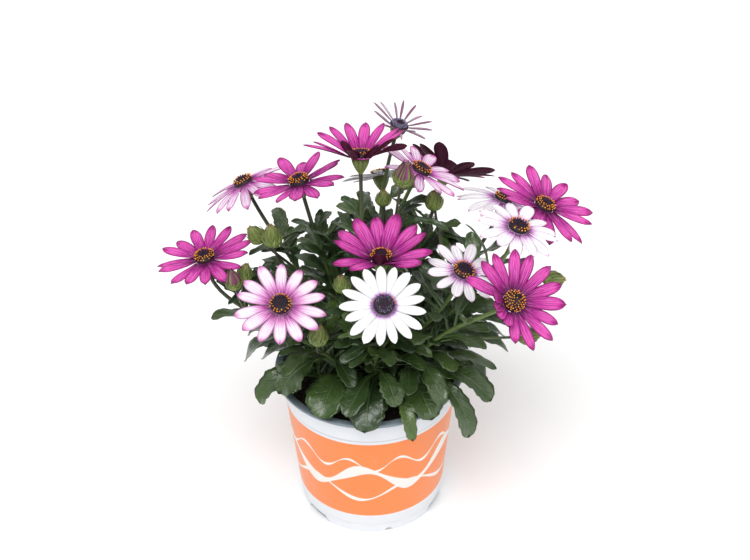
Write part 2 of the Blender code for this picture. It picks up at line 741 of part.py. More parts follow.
def pot_mesh():
    outer, inner = pot_profiles()
    return turned([*outer, *reversed(inner), outer[0]], POT_SIDES, "pot")


def add_pot(mesh, collection, cutters):
    """The pot with its drain holes and the openings in its foot."""
    pot = add_object("pot", mesh, collection, "pot")
    for bearings, half_angle, height in (FOOT_ARCHES, FOOT_NICKS):
        for bearing in bearings:
            wedge_cutter(f"arch_{bearing}", bearing, half_angle, height, cutters)
    middle = sum(CHANNEL) / 2
    for i in range(DRAIN_HOLES):
        x, y, _ = heading(0, 30 + 360 * i / DRAIN_HOLES) * middle
        post(f"drain_{i}", x, y, DRAIN_RADIUS, 1.0, CHANNEL_HEIGHT + WALL + 2.0, DRAIN_SIDES, cutters)
    cut(pot, cutters)


def soil_radius(z):
    """The pot's inner radius at a height, less the gap."""
    (r_low, z_low), (r_high, z_high) = FOOT_STEP[0], SHOULDER[2]
    return r_low + (r_high - r_low) * (z - z_low) / (z_high - z_low) - WALL - GAP


def soil_mesh():
    floor = CHANNEL_HEIGHT + WALL + GAP
    shoulder = SHOULDER[2][1]
    rim = soil_radius(shoulder) + 0.4
    profile = [
        (0, SOIL_TOP),
        (0.5 * rim, SOIL_TOP + 0.4),
        (0.9 * rim, SOIL_TOP - 0.5 * SOIL_MOUND),
        (rim, SOIL_TOP - SOIL_MOUND),
        (rim, shoulder + 1.6),
        (soil_radius(shoulder), shoulder),
        (soil_radius(8.6), 8.6),
        (FOOT_RADIUS - 3.0, floor),
        (0, floor),
    ]
    return turned(profile, SOIL_SIDES, "soil")


def add_soil(mesh, collection, cutters, feet):
    """The compost with a hole for the foot of each stem."""
    soil = add_object("soil", mesh, collection, "soil")
    for i, (x, y) in enumerate(feet):
        post(f"hole_{i}", x, y, HOLE_RADIUS, SOIL_TOP - HOLE_DEPTH, SOIL_TOP + 6.0, HOLE_SIDES, cutters)
    cut(soil, cutters)


# Assembly


def fuse(name, meshes, colour, collection):
    """Joins the meshes of one node in a single Boolean union and keeps only the result."""
    bench = bpy.data.collections.new(name + "_pieces")
    bpy.context.scene.collection.children.link(bench)
    base = add_object(name, meshes[0], collection)
    for i, mesh in enumerate(meshes[1:]):
        add_object(f"{name}_piece_{i}", mesh, bench)
    union = base.modifiers.new("union", "BOOLEAN")
    union.operation = "UNION"
    union.operand_type = "COLLECTION"
    union.collection = bench
    union.solver = "MANIFOLD"
    bpy.context.view_layer.update()
    joined = evaluated_mesh(base)
    for piece in list(bench.objects):
        bpy.data.objects.remove(piece)
    bpy.data.collections.remove(bench)
    return add_object(name, joined, collection, colour)


def taken_by(owner, mesh):
    """(owner, low, high, tree) of a mesh, for the search for free places."""
    points = [v.co / MM for v in mesh.vertices]
    return (owner, *bounds(points), BVHTree.FromPolygons(points, [tuple(p.vertices) for p in mesh.polygons]))


def bounds(points):
    points = np.asarray(points, float)
    return points.min(axis=0), points.max(axis=0)


def free_place(leaf, own, taken):
    """The first choice of a leaf that meets nothing but its own stem, as (leaf, low, high, body)."""
    lows = np.array([low for _, low, _, _ in taken])
    highs = np.array([high for _, _, high, _ in taken])
    passed = (own, "leaf of " + own) if leaf.placed else (own,)
    for choice in leaf_choices(leaf):
        low, high, body = leaf_body(choice)
        near = np.flatnonzero(((lows < high) & (highs > low)).all(axis=1))
        if not any(taken[i][0] not in passed and body.overlap(taken[i][3]) for i in near):
            return choice, low, high, body
    return None


def main():
    for obj in list(bpy.data.objects):
        bpy.data.objects.remove(obj)
    plant = bpy.data.collections.new("potted_african_daisy")
    pot_cutters = bpy.data.collections.new("pot_cutters")
    soil_cutters = bpy.data.collections.new("soil_cutters")
    for made in (plant, pot_cutters, soil_cutters):
        bpy.context.scene.collection.children.link(made)

    stems = {b.name: bloom_path(b) for b in BLOOMS}
    shoots = {s.name: shoot_path(s) for s in SHOOTS}
    feet = [p.points[0][:2] for p in (*stems.values(), *shoots.values())]

    pot, soil = pot_mesh(), soil_mesh()

    taken = [taken_by("pot", pot), taken_by("soil", soil)]
    pieces = {}
    for bloom in BLOOMS:
        head = rays(bloom)
        dome = disc(bloom)
        add_object("rays_" + bloom.name, head, plant, bloom.kind)
        add_object("disc_" + bloom.name, dome, plant, "disc")
        stalk = tube(stems[bloom.name], STEM_RADIUS, "stem")
        pieces[bloom.name] = [stalk, cup(bloom)]
        taken += [taken_by("rays_" + bloom.name, head), taken_by("disc_" + bloom.name, dome)]
    for bud in BUDS:
        branch = bud_path(bud, stems[bud.stem])
        pieces[bud.stem] += [tube(branch, STALK_RADIUS, "stalk", 6, False), bud_body(bud)]
    for shoot in SHOOTS:
        pieces[shoot.name] = [tube(shoots[shoot.name], STEM_RADIUS, "shoot", 3)]
    for name, meshes in pieces.items():
        taken += [taken_by(name, mesh) for mesh in meshes]

    for name, leaf in all_leaves(stems, shoots):
        found = free_place(leaf, name, taken)
        if found is None:
            print("no room for a leaf of", name)
            continue
        pieces[name].append(leaf_mesh(found[0]))
        taken.append(("leaf of " + name, *found[1:]))

    for name, meshes in pieces.items():
        fuse("stem_" + name, meshes, "green", plant)
    add_pot(pot, plant, pot_cutters)
    add_soil(soil, plant, soil_cutters, feet)


main()
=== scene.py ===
import math
import random
from collections import namedtuple

import bmesh
import bpy
import numpy as np
from mathutils import Matrix, Vector, kdtree
from mathutils.bvhtree import BVHTree


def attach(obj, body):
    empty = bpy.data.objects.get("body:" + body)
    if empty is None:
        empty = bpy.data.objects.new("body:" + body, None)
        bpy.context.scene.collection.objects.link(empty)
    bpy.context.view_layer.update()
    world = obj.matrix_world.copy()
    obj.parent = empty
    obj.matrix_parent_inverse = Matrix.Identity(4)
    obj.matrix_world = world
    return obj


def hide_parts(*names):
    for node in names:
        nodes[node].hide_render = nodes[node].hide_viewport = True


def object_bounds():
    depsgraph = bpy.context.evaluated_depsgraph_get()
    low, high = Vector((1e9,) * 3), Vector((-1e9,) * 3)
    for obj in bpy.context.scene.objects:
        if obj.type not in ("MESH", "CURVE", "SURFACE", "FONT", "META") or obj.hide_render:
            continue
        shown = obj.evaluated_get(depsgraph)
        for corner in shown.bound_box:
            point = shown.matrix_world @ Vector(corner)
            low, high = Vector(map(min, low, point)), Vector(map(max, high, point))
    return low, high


# A potted African daisy in flower. Sizes are in millimetres until a mesh is stored.
# The plan of the plant repeats the one in the part's source, so that each piece lies on its solid.

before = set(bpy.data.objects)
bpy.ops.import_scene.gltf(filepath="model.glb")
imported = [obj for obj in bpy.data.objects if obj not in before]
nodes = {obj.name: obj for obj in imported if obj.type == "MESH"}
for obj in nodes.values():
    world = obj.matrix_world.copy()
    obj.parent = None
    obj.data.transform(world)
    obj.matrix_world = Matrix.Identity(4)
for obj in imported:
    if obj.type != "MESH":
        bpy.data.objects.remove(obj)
cad_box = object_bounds()

MM = 0.001
CAMERA = (4.3, -742.7, 697.8)  # where the photograph was taken from
PITCH, ROLL = math.radians(35.51), math.radians(-0.9)
POT_HEIGHT = 102.4
LIP_RADIUS = 60.0
LIP_THICKNESS = 2.0
WALL = 1.0
SHOULDER = ((56.4, POT_HEIGHT - LIP_THICKNESS), (55.0, 86.0), (54.2, 84.8))
FOOT_STEP = ((46.9, 8.0), (46.1, 7.0))
FOOT_RADIUS = 45.6
CHANNEL = (31.5, 40.5)  # inner and outer radius of the raised drain channel
CHANNEL_HEIGHT = 3.5
FOOT_ARCHES = ((97, 219, 335), 13.0, 4.2)  # bearings, half width in degrees, height
FOOT_NICKS = ((43, 157, 283), 2.6, 2.2)
SOIL_TOP = 92.0
STEM_RADIUS = 1.45
CUP_HEIGHT = 9.0
PATH_STEPS = 32
PLATE_RADIUS = 6.0
PLATE_THICKNESS = 1.1
DISC_RADIUS = 6.1

Bloom = namedtuple("Bloom", "name kind head lean toward reach petals cup curl root")

Bud = namedtuple("Bud", "stem name at lean toward width height leaves_stem")

Shoot = namedtuple("Shoot", "name bearing root_radius height")

BLOOMS = (
    Bloom("left", "pink", (-98, 2, 184), 8, 200, 30.0, 15, 2, 4, (-22, 2)),
    Bloom("back_left", "blush", (-75, 42, 212), 26, 158, 29.0, 15, -6, -14, (-16, 12)),
    Bloom("upper_left", "pink", (-39, 8, 233), 13, 160, 29.0, 14, 8, -4, (-11, 3)),
    Bloom("top", "pink", (-3, 4, 252), 16, 90, 31.0, 15, 34, -12, (-4, 8)),
    Bloom("top_faded", "faded", (20.5, 63, 239), 16, 345, 22.0, 15, 24, -8, (5, 17)),
    Bloom("upper_middle", "blush", (32, 19, 233), 28, 10, 28.0, 13, 6, -10, (8, 10)),
    Bloom("back_turned", "pink", (50, 72, 199), 50, 66, 30.0, 13, 24, -8, (11, 15)),
    Bloom("back_right", "white", (85, 48, 193), 22, 30, 30.0, 16, -8, -16, (18, 9)),
    Bloom("right", "pink", (105, 6, 215), 24, 348, 32.0, 15, 3, -4, (24, 2)),
    Bloom("right_white", "white", (86, -32, 225), 16, 345, 25.0, 13, 0, -8, (21, -4)),
    Bloom("middle", "pink", (8, -30, 204), 2, 270, 32.0, 13, 26, -2, (2, -9)),
    Bloom("front_white", "white", (9, -81, 208), 33, 272, 24.0, 17, 2, -4, (3, -21)),
    Bloom("front_right_white", "white", (55, -39, 200), 20, 318, 22.5, 12, 2, -10, (12, -10)),
    Bloom("front_right", "pink", (80, -79, 208), 44, 292, 30.5, 16, 6, -6, (18, -16)),
    Bloom("front_left", "blush", (-49, -63, 196), 24, 270, 27.3, 14, 4, -6, (-13, -14)),
    Bloom("back_middle", "white", (9, 79, 193), 40, 100, 25.0, 14, 4, -10, (-3, 20)),
)

# Petals that hang, curl or stay short: middle angle, half range, lift, curl, share of length and roll
FOLDS = {
    "front_right": ((222, 38, 20, 40, 0.62, 0), (285, 15, 0, 0, 0.74, 0)),
    "middle": ((263, 9, 44, 12, 0.45, 0), (291, 9, 8, 0, 0.60, 0)),
    "top": (
        (12, 9, 6, 0, 1.04, 0),
        (36, 9, 6, 0, 1.02, 0),
        (72, 18, 5, 0, 1.08, 0),
        (132, 9, 8, 0, 1.06, 0),
        (180, 9, -8, 0, 1.08, 0),
        (229, 9, 24, 8, 0.62, 0),
        (253, 9, 8, 0, 0.62, 0),
        (276, 9, -8, 0, 0.88, 0),
        (300, 9, 8, 0, 0.76, 0),
        (324, 9, 8, 0, 0.90, -20),
        (348, 9, -4, 0, 0.92, -75),
    ),
    "back_turned": (
        (235, 9, 0, 0, 1.10, 0),
        (262, 9, 0, 0, 0.50, 0),
        (291, 9, -8, 0, 0.88, 0),
        (318, 9, -4, 0, 1.22, 0),
        (347, 9, -4, 0, 1.15, 0),
    ),
}

BUDS = (
    Bud("upper_middle", "a", (22, -14, 252), 12, 350, 11.8, 17.0, 0.70),
    Bud("top", "a", (10, 10, 221), 4, 90, 8.8, 11.0, 0.40),
    Bud("right_white", "a", (40, 10, 219), 6, 200, 10.3, 14.0, 0.35),
    Bud("back_left", "a", (-56, -10, 209), 6, 200, 11.4, 16.0, 0.30),
    Bud("back_left", "b", (-67, 3, 201), 34, 190, 10.0, 14.0, 0.42),
    Bud("left", "a", (-79, -25, 188), 10, 180, 9.5, 14.0, 0.45),
    Bud("left", "b", (-74, -2, 177), 14, 30, 9.0, 13.0, 0.38),
    Bud("front_left", "a", (-29, -53, 168), 12, 300, 11.0, 16.0, 0.30),
    Bud("right", "a", (109, -35, 191), 70, 340, 10.0, 14.0, 0.45),
    Bud("front_right", "a", (95, -46, 159), 72, 345, 10.0, 15.0, 0.30),
    Bud("middle", "a", (-15, -36, 192), 8, 230, 9.5, 13.0, 0.35),
)

SHOOTS = tuple(
    Shoot(f"rim_{i + 1}", 22.5 + 45.0 * i, 31.0 + 2.0 * (i % 2), 15.0 + 3.0 * (i % 3))
    for i in (0, 1, 2, 3, 4, 6, 7)
)

# Stem, share of it, tip, slack, width and roll of the leaves that hang over the pot's lip
FRONT_LEAVES = (
    ("left", 0.35, (-78, -6, 111), 1.12, 16, 15),
    ("front_left", 0.35, (-54, -42, 114), 1.10, 25, 0),
    ("rim_5", 1.0, (-68, -33, 99), 1.14, 17, 0),
    ("front_left", 0.32, (-10, -50, 124), 1.10, 11, 0),
    ("front_left", 0.13, (-29, -57, 106), 1.14, 24, 0),
    ("front_white", 0.25, (16, -56, 114), 1.10, 14.5, 0),
    ("front_white", 0.10, (-3, -65, 102), 1.20, 22, 0),
    ("front_right", 0.25, (43, -58, 116), 1.12, 13, 0),
    ("front_right", 0.08, (37, -58, 105), 1.14, 23, 0),
    ("rim_7", 1.0, (25, -64, 94), 1.22, 9, 0),
    ("rim_8", 1.0, (74, -38, 102), 1.10, 18, 0),
    ("rim_8", 0.6, (60, -47, 81), 1.28, 14, 0),
    ("right_white", 0.10, (78, -20, 110), 1.06, 11, 0),
)

BACK_SHOOTS = ("rim_1", "rim_2", "rim_3", "rim_4")  # their leaves are drawn by rule

Leaf = namedtuple("Leaf", "base bearing rise droop length width roll placed", defaults=(False,))

Path = namedtuple("Path", "points tangents")


def unit(v):
    v = np.asarray(v, float)
    return v / np.linalg.norm(v)


def heading(rise, bearing):
    """Unit vector that rises this much above the horizontal, toward a bearing measured from +X."""
    r, b = math.radians(rise), math.radians(bearing)
    return np.array([math.cos(r) * math.cos(b), math.cos(r) * math.sin(b), math.sin(r)])


def head_axes(axis):
    """Two directions across a head's axis, and the axis."""
    side = unit(np.cross([0.0, 1.0, 0.0] if abs(axis[1]) < 0.9 else [1.0, 0.0, 0.0], axis))
    return side, np.cross(axis, side), axis


def bezier_path(a, b, c, d):
    t = np.linspace(0.0, 1.0, PATH_STEPS + 1)[:, None]
    a, b, c, d = (np.asarray(p, float) for p in (a, b, c, d))
    points = (1 - t) ** 3 * a + 3 * (1 - t) ** 2 * t * b + 3 * (1 - t) * t**2 * c + t**3 * d
    tangents = np.gradient(points, axis=0)
    return Path(points, tangents / np.linalg.norm(tangents, axis=1)[:, None])


def on_path(path, share):
    """Point and direction at a share of a path, from 0 at its foot to 1 at its head."""
    k = share * PATH_STEPS
    i = min(int(k), PATH_STEPS - 1)
    f = k - i
    return (
        (1 - f) * path.points[i] + f * path.points[i + 1],
        unit((1 - f) * path.tangents[i] + f * path.tangents[i + 1]),
    )


def bloom_axis(bloom):
    return heading(90 - bloom.lean, bloom.toward)


def bloom_path(bloom):
    """From just over the compost to the foot of the bloom's cup."""
    axis = bloom_axis(bloom)
    foot = np.array([*bloom.root, SOIL_TOP + 1.5])
    neck = np.array(bloom.head, float) - axis * (CUP_HEIGHT - 1.0)
    reach = np.linalg.norm(neck - foot)
    lift = np.array([0.10 * (neck[0] - foot[0]), 0.10 * (neck[1] - foot[1]), 0.36 * reach])
    return bezier_path(foot, foot + lift, neck - axis * 0.36 * reach, neck)


def bud_path(bud, stem):
    """From a point inside the stem to the foot of the bud."""
    axis = heading(90 - bud.lean, bud.toward)
    start, along = on_path(stem, bud.leaves_stem)
    end = np.array(bud.at, float) - axis * bud.height * 0.42
    reach = np.linalg.norm(end - start)
    return bezier_path(start, start + along * 0.40 * reach, end - axis * 0.35 * reach, end)


def shoot_path(shoot):
    foot = heading(0, shoot.bearing) * shoot.root_radius
    foot[2] = SOIL_TOP + 1.5
    top = foot + heading(0, shoot.bearing) * 4.0 + np.array([0, 0, shoot.height])
    return bezier_path(foot, foot + [0, 0, 5.0], top - [0, 0, 5.0], top)


def leaf_width(s, tip=0.33):
    """Half width of a leaf along its length, as a share of the widest; tip is the share of its round end."""
    if s < 0.68:
        return 0.15 + 0.85 * smooth(0.18, 0.68, s)
    return math.sqrt(max(0.0, 1 - ((s - 0.68) / tip) ** 2))


def rolled(side, up, angle):
    """Two directions across a blade, turned about its length."""
    c, s = math.cos(math.radians(angle)), math.sin(math.radians(angle))
    return side * c + up * s, up * c - side * s


def leaf_spine(leaf, s):
    """Centre, side and upward normal of a leaf at a share of its length."""
    steps = 8
    point = np.array(leaf.base, float)
    for k in range(steps):
        rise = leaf.rise - leaf.droop * s * (k + 0.5) / steps
        point = point + heading(rise, leaf.bearing) * leaf.length * s / steps
    along = heading(leaf.rise - leaf.droop * s, leaf.bearing)
    side = heading(0, leaf.bearing + 90)
    return point, *rolled(side, np.cross(along, side), leaf.roll)


def leaf_choices(leaf):
    """The leaf where it would grow, then the same leaf turned, lifted or smaller, to find free space."""
    scales, lifts, turns = (1.0, 0.85, 0.7), (0, 12, -10, 24), (0, 14, -14, 28, -28, 44, -44)
    if leaf.placed:
        scales, lifts, turns = (1.0, 0.92, 0.84), (0, 5, -4, 10, 16, 24), (0, 4, -4, 8, -8, 13, -13)
    for scale in scales:
        for lift in lifts:
            for turn in turns:
                yield leaf._replace(
                    bearing=leaf.bearing + turn,
                    rise=leaf.rise + lift,
                    length=leaf.length * scale,
                    width=leaf.width * (0.5 + 0.5 * scale),
                )


def stem_leaves(name, path, first, last, count, out_bearing, spread):
    """Leaves up a stem in a spiral that favours the side away from the middle of the plant."""
    draw = random.Random("leaves " + name)
    for i in range(count):
        share = first + (last - first) * i / max(1, count - 1)
        base, _ = on_path(path, share)
        height = (base[2] - SOIL_TOP) / 100.0
        turn = ((i * 137.5 + draw.uniform(-15, 15)) % 360) - 180
        length = max(24.0, 50.0 - 22.0 * height) * draw.uniform(0.9, 1.1)
        yield Leaf(
            tuple(base),
            out_bearing + turn * spread,
            52.0 - 22.0 * math.cos(math.radians(turn)) + draw.uniform(-6, 6) + 14 * height,
            62.0 + draw.uniform(-12, 14) - 22 * height,
            length,
            length * draw.uniform(0.36, 0.44),
            draw.uniform(-14, 14),
        )


def shoot_leaves(shoot, path):
    """Four large leaves that fan out and arch over the pot's lip."""
    draw = random.Random("leaves " + shoot.name)
    for i, turn in enumerate((0, -25, 24, 150)):
        base, _ = on_path(path, (0.98, 0.80, 0.88, 0.94)[i])
        length = (54.0, 50.0, 49.0, 34.0)[i] * draw.uniform(0.92, 1.08)
        yield Leaf(
            tuple(base),
            shoot.bearing + turn + draw.uniform(-5, 5),
            (38.0, 30.0, 34.0, 66.0)[i] + draw.uniform(-5, 5),
            (88.0, 70.0, 74.0, 50.0)[i] + draw.uniform(-8, 8),
            length,
            length * draw.uniform(0.42, 0.50),
            draw.uniform(-10, 10),
        )


def arched_leaf(base, tip, slack, width, roll):
    """A leaf that arches from its base to its tip; slack is its length over the straight distance."""
    span = np.asarray(tip, float) - base
    chord = float(np.linalg.norm(span))
    half = math.sqrt(6 * (1 - 1 / slack))
    for _ in range(8):
        fault = math.sin(half) / half - 1 / slack
        half -= fault * half**2 / (half * math.cos(half) - math.sin(half))
    bearing = math.degrees(math.atan2(span[1], span[0]))
    rise = math.degrees(math.asin(span[2] / chord) + half)
    return Leaf(tuple(base), bearing, rise, 2 * math.degrees(half), chord * slack, width, roll, True)


def all_leaves(stems, shoots):
    """(name of the stem, leaf) of every leaf that may grow, in the order in which they find their places."""
    for name, share, *shape in FRONT_LEAVES:
        base, _ = on_path((shoots if name in shoots else stems)[name], share)
        yield name, arched_leaf(base, *shape)
    for shoot in SHOOTS:
        if shoot.name in BACK_SHOOTS:
            for leaf in shoot_leaves(shoot, shoots[shoot.name]):
                yield shoot.name, leaf
    for bloom in BLOOMS:
        x, y, _ = bloom.head
        outward = math.degrees(math.atan2(y, x))
        spread = 0.95 if math.hypot(x, y) < 45 else 0.62
        for leaf in stem_leaves(bloom.name, stems[bloom.name], 0.10, 0.66, 7, outward, spread):
            yield bloom.name, leaf


def petal_plan(bloom):
    """Angle, length, width, lift and roll of each ray floret."""
    draw = random.Random("petals " + bloom.name)
    slim = 0.32 if bloom.kind == "faded" else 0.92
    step = 360.0 / bloom.petals
    for i in range(bloom.petals):
        length = (bloom.reach - PLATE_RADIUS) * draw.uniform(0.93, 1.05)
        widest = 2 * math.pi * (PLATE_RADIUS + 0.50 * length) / bloom.petals
        petal = {
            "angle": (i + 0.5) * step + draw.uniform(-0.04, 0.04) * step,
            "length": length,
            "width": slim * widest * draw.uniform(0.90, 1.0),
            "lift": bloom.cup + draw.uniform(-5, 5) + 3 * (-1) ** i,
            "curl": bloom.curl + draw.uniform(-8, 8),
            "roll": draw.uniform(-9, 9),
        }
        for middle, half_range, more_lift, more_curl, share, more_roll in FOLDS.get(bloom.name, ()):
            if abs(petal["angle"] - middle) <= half_range:
                petal["length"] *= share
                petal["lift"] += more_lift
                petal["curl"] += more_curl
                petal["roll"] += more_roll
        yield petal


def petal_spine(petal, s):
    """Centre, side and upward normal of a ray floret in its head's own frame."""
    steps = 6
    radius, height = PLATE_RADIUS, PLATE_THICKNESS / 2
    for k in range(steps):
        lift = math.radians(petal["lift"] + petal["curl"] * s * (k + 0.5) / steps)
        radius += math.cos(lift) * petal["length"] * s / steps
        height += math.sin(lift) * petal["length"] * s / steps
    lift = math.radians(petal["lift"] + petal["curl"] * s)
    angle = math.radians(petal["angle"])
    out = np.array([math.cos(angle), math.sin(angle), 0.0])
    side = np.array([-math.sin(angle), math.cos(angle), 0.0])
    up = np.array([0, 0, math.cos(lift)]) - out * math.sin(lift)
    centre = out * radius + np.array([0, 0, height])
    return centre, *rolled(side, up, petal["roll"] * s)


# Fine meshes: grids of points with two texture layers, gathered into one mesh for each piece

TURN = 2 * math.pi
WELD = 0.000002  # points nearer than this, in metres, become one
OFF_BLADE = (0.5, 0.5)  # the shape layer of what lies on no blade
UNDERSIDE = (2.0, 0.0)  # added to the shape layer of a blade's underside


class Pieces:
    """Gathers grids of points into one mesh. shape holds (across, along); tone holds (own value, share)."""

    def __init__(self):
        self.points, self.faces, self.shape, self.tone, self.slots = [], [], [], [], []
        self.count = 0

    def grid(self, points, tone, slot=0, shape=None, flip=False):
        """points is (rows, columns, 3); tone and shape are pairs, or (rows, columns, 2)."""
        rows, columns = points.shape[:2]
        shape = wrap_shape(rows, columns) if shape is None else shape
        index = np.arange(rows * columns).reshape(rows, columns) + self.count
        corners = (index[:-1, :-1], index[:-1, 1:], index[1:, 1:], index[1:, :-1])
        quads = np.stack(corners, -1).reshape(-1, 4)
        self.faces.append(quads[:, ::-1] if flip else quads)
        self.points.append(points.reshape(-1, 3))
        for layer, values in ((self.shape, shape), (self.tone, tone)):
            layer.append(np.broadcast_to(values, (rows, columns, 2)).reshape(-1, 2))
        self.slots.append(np.full(len(quads), slot))
        self.count += rows * columns

    def finish(self, name, materials):
        points = np.concatenate(self.points) * MM
        faces = np.concatenate(self.faces)
        mesh = bpy.data.meshes.new(name)
        mesh.from_pydata(points.tolist(), [], faces.tolist())
        corners = faces.reshape(-1)
        for label, values in (("shape", self.shape), ("tone", self.tone)):
            layer = mesh.uv_layers.new(name=label)
            layer.data.foreach_set("uv", np.concatenate(values)[corners].astype(np.float32).reshape(-1))
        mesh.polygons.foreach_set("material_index", np.concatenate(self.slots).astype(np.int32))
        for made in materials:
            mesh.materials.append(made)
        bm = bmesh.new()
        bm.from_mesh(mesh)
        bmesh.ops.remove_doubles(bm, verts=bm.verts, dist=WELD)
        for face in bm.faces:
            face.smooth = True
        bm.to_mesh(mesh)
        bm.free()
        obj = bpy.data.objects.new(name, mesh)
        bpy.context.scene.collection.objects.link(obj)
        return obj


def rings(profile, sides):
    """Points of a turned shape, (rows, sides + 1, 3), from a profile of (radius, height)."""
    turns = np.linspace(0.0, TURN, sides + 1)
    radii, heights = np.asarray(profile, float).T[:, :, None]
    return np.stack([radii * np.cos(turns), radii * np.sin(turns), heights + 0 * turns], -1)


def wrap_shape(rows, columns, shares=None):
    """(across, along) laid over a grid."""
    down = np.linspace(0, 1, rows) if shares is None else shares
    return np.stack(np.meshgrid(np.linspace(0, 1, columns), down), -1)


def stand(points, at, axis):
    """Points drawn on the origin along +Z, moved to a place and an axis."""
    return np.asarray(at, float) + points @ np.array(head_axes(unit(axis)))


def circle(sides, side, other):
    """Points round the origin, one unit out, from two directions across it."""
    turns = np.linspace(0, TURN, sides + 1)[:, None]
    return np.cos(turns) * side + np.sin(turns) * other


def fine_tube(pieces, path, radii, slot, own, sides=10, rows=26, bottom=None, flush=1.0):
    """A round stem along a path, with a foot at the bottom height; flush is how far it changes its tone."""
    side = unit(np.cross(path.tangents[0], [0.31, 0.95, 0.1]))
    shares = np.linspace(0, 1, rows)
    line = [on_path(path, share) for share in shares]
    if bottom is not None:
        line.insert(0, (np.array([*line[0][0][:2], bottom]), np.array([0.0, 0.0, 1.0])))
        shares = np.insert(shares, 0, 0.0)
    points = []
    for share, (centre, along) in zip(shares, line):
        side = unit(side - along * np.dot(side, along))
        radius = radii[0] + (radii[1] - radii[0]) * share
        points.append(centre + radius * circle(sides, side, np.cross(along, side)))
    tone = np.stack(np.broadcast_arrays(own, shares[:, None] * flush * np.ones(sides + 1)), -1)
    pieces.grid(np.array(points), tone, slot)


def blade(pieces, top, up, thickness, tone, slot, shares=None):
    """A thin closed leaf or petal, from the points of its top."""
    rows, columns = top.shape[:2]
    across = np.linspace(-1, 1, columns)
    depth = thickness * (1 - np.abs(across) ** 4)[None, :, None] * np.ones((rows, 1, 1))
    depth[0], depth[-1] = thickness * 0.3, 0.0
    depth[:, 0], depth[:, -1] = 0.0, 0.0
    shape = wrap_shape(rows, columns, shares)
    pieces.grid(top, tone, slot, shape, flip=True)
    pieces.grid(top - up[:, None, :] * depth, tone, slot, shape + UNDERSIDE)


def smooth(low, high, x):
    t = np.clip((x - low) / (high - low), 0, 1)
    return t * t * (3 - 2 * t)


# Leaves

LEAF_ROWS = 27
EXTRA_LEAF_ROWS = 19
LEAF_COLUMNS = 9
LEAF_THICKNESS = 0.55
FINE_TIP = 0.32  # share of a leaf that its round end takes
TEETH = 0.115  # a tooth's length as a share of the leaf


def fine_leaf(pieces, leaf, slot, painted_light_and_tone, rows=LEAF_ROWS):
    draw = random.Random(f"leaf {leaf.base[0]:.2f} {leaf.bearing:.2f} {leaf.length:.2f}")
    across = np.linspace(-1, 1, LEAF_COLUMNS)
    phase = draw.uniform(0, TURN)
    start = draw.uniform(0, TEETH)
    depth = draw.uniform(0.12, 0.24) if leaf.placed else draw.uniform(0.16, 0.36)
    tooth = TEETH * (1.0 if leaf.placed else 1.35)
    slim = 1.0 if leaf.placed else draw.uniform(0.62, 0.86)
    waves = draw.uniform(2.0, 3.2)
    sway = draw.uniform(0.7, 1.7) * leaf.width / 18
    cup = draw.uniform(0.10, 0.34)
    lag = np.where(across < 0, 0.0, tooth / 2)
    top, ups = [], []
    for s in np.linspace(0, 1, rows):
        centre, side, up = leaf_spine(leaf, s)
        half = slim * leaf.width / 2 * leaf_width(s, FINE_TIP)
        toothed = depth * smooth(0.30, 0.48, s) * (1 - smooth(0.92, 0.99, s))
        reach = 1 + toothed * (((s + start + lag) / tooth) % 1 - 0.35)
        lift = cup * half * np.abs(across) ** 1.6
        lift += sway * np.sin(s * waves * TURN + phase + 1.3 * across) * across**2 * (s > 0.1)
        lift -= 0.45 * np.exp(-((across / 0.13) ** 2)) * (1 - s)
        top.append(centre + side * (half * across * reach)[:, None] + up * lift[:, None])
        ups.append(up)
    tone = (draw.random() * 0.98 + 0.01, painted_light_and_tone)
    blade(pieces, np.array(top), np.array(ups), LEAF_THICKNESS, tone, slot)
    # the midrib stands out of the underside, and runs into the stalk
    rib = []
    for s in np.linspace(0, 0.9, 10):
        centre, side, up = leaf_spine(leaf, s)
        r = 0.95 * (1 - s) + 0.15
        rib.append(centre - up * (0.5 * r + 0.15) + r * circle(6, side, up))
    pieces.grid(np.array(rib), tone, slot, np.add(OFF_BLADE, UNDERSIDE))


# Flower heads

PETAL_SHARES = np.array([0, 0.03, 0.08, 0.16, 0.27, 0.39, 0.51, 0.63, 0.74, 0.83, 0.90, 0.95, 0.985, 1.0])
PETAL_COLUMNS = 11
PETAL_THICKNESS = 0.38
# of a bloom or a kind, over the breadth in the solids
PETAL_BREADTH = {
    "front_white": 1.26, "faded": 1.0, "middle": 1.22, "front_left": 1.18, "back_turned": 1.35,
    "upper_left": 1.24, "right": 1.20, "left": 1.14, "front_right": 1.16, "right_white": 1.20,
}
USUAL_BREADTH = 1.08
PLATE = ((0.1, 0.0), (4.6, 0.0), (5.8, 0.1), (6.0, 0.5), (5.8, 0.8), (5.0, 1.1), (0.1, 1.1))


def petal_width(s):
    """Half width of a ray floret along its length, as a share of the widest."""
    if s < 0.60:
        return 0.46 + 0.54 * math.sin(math.pi / 2 * s / 0.60)
    return max(0.0, 1 - ((s - 0.60) / 0.40) ** 2.2) ** 0.66


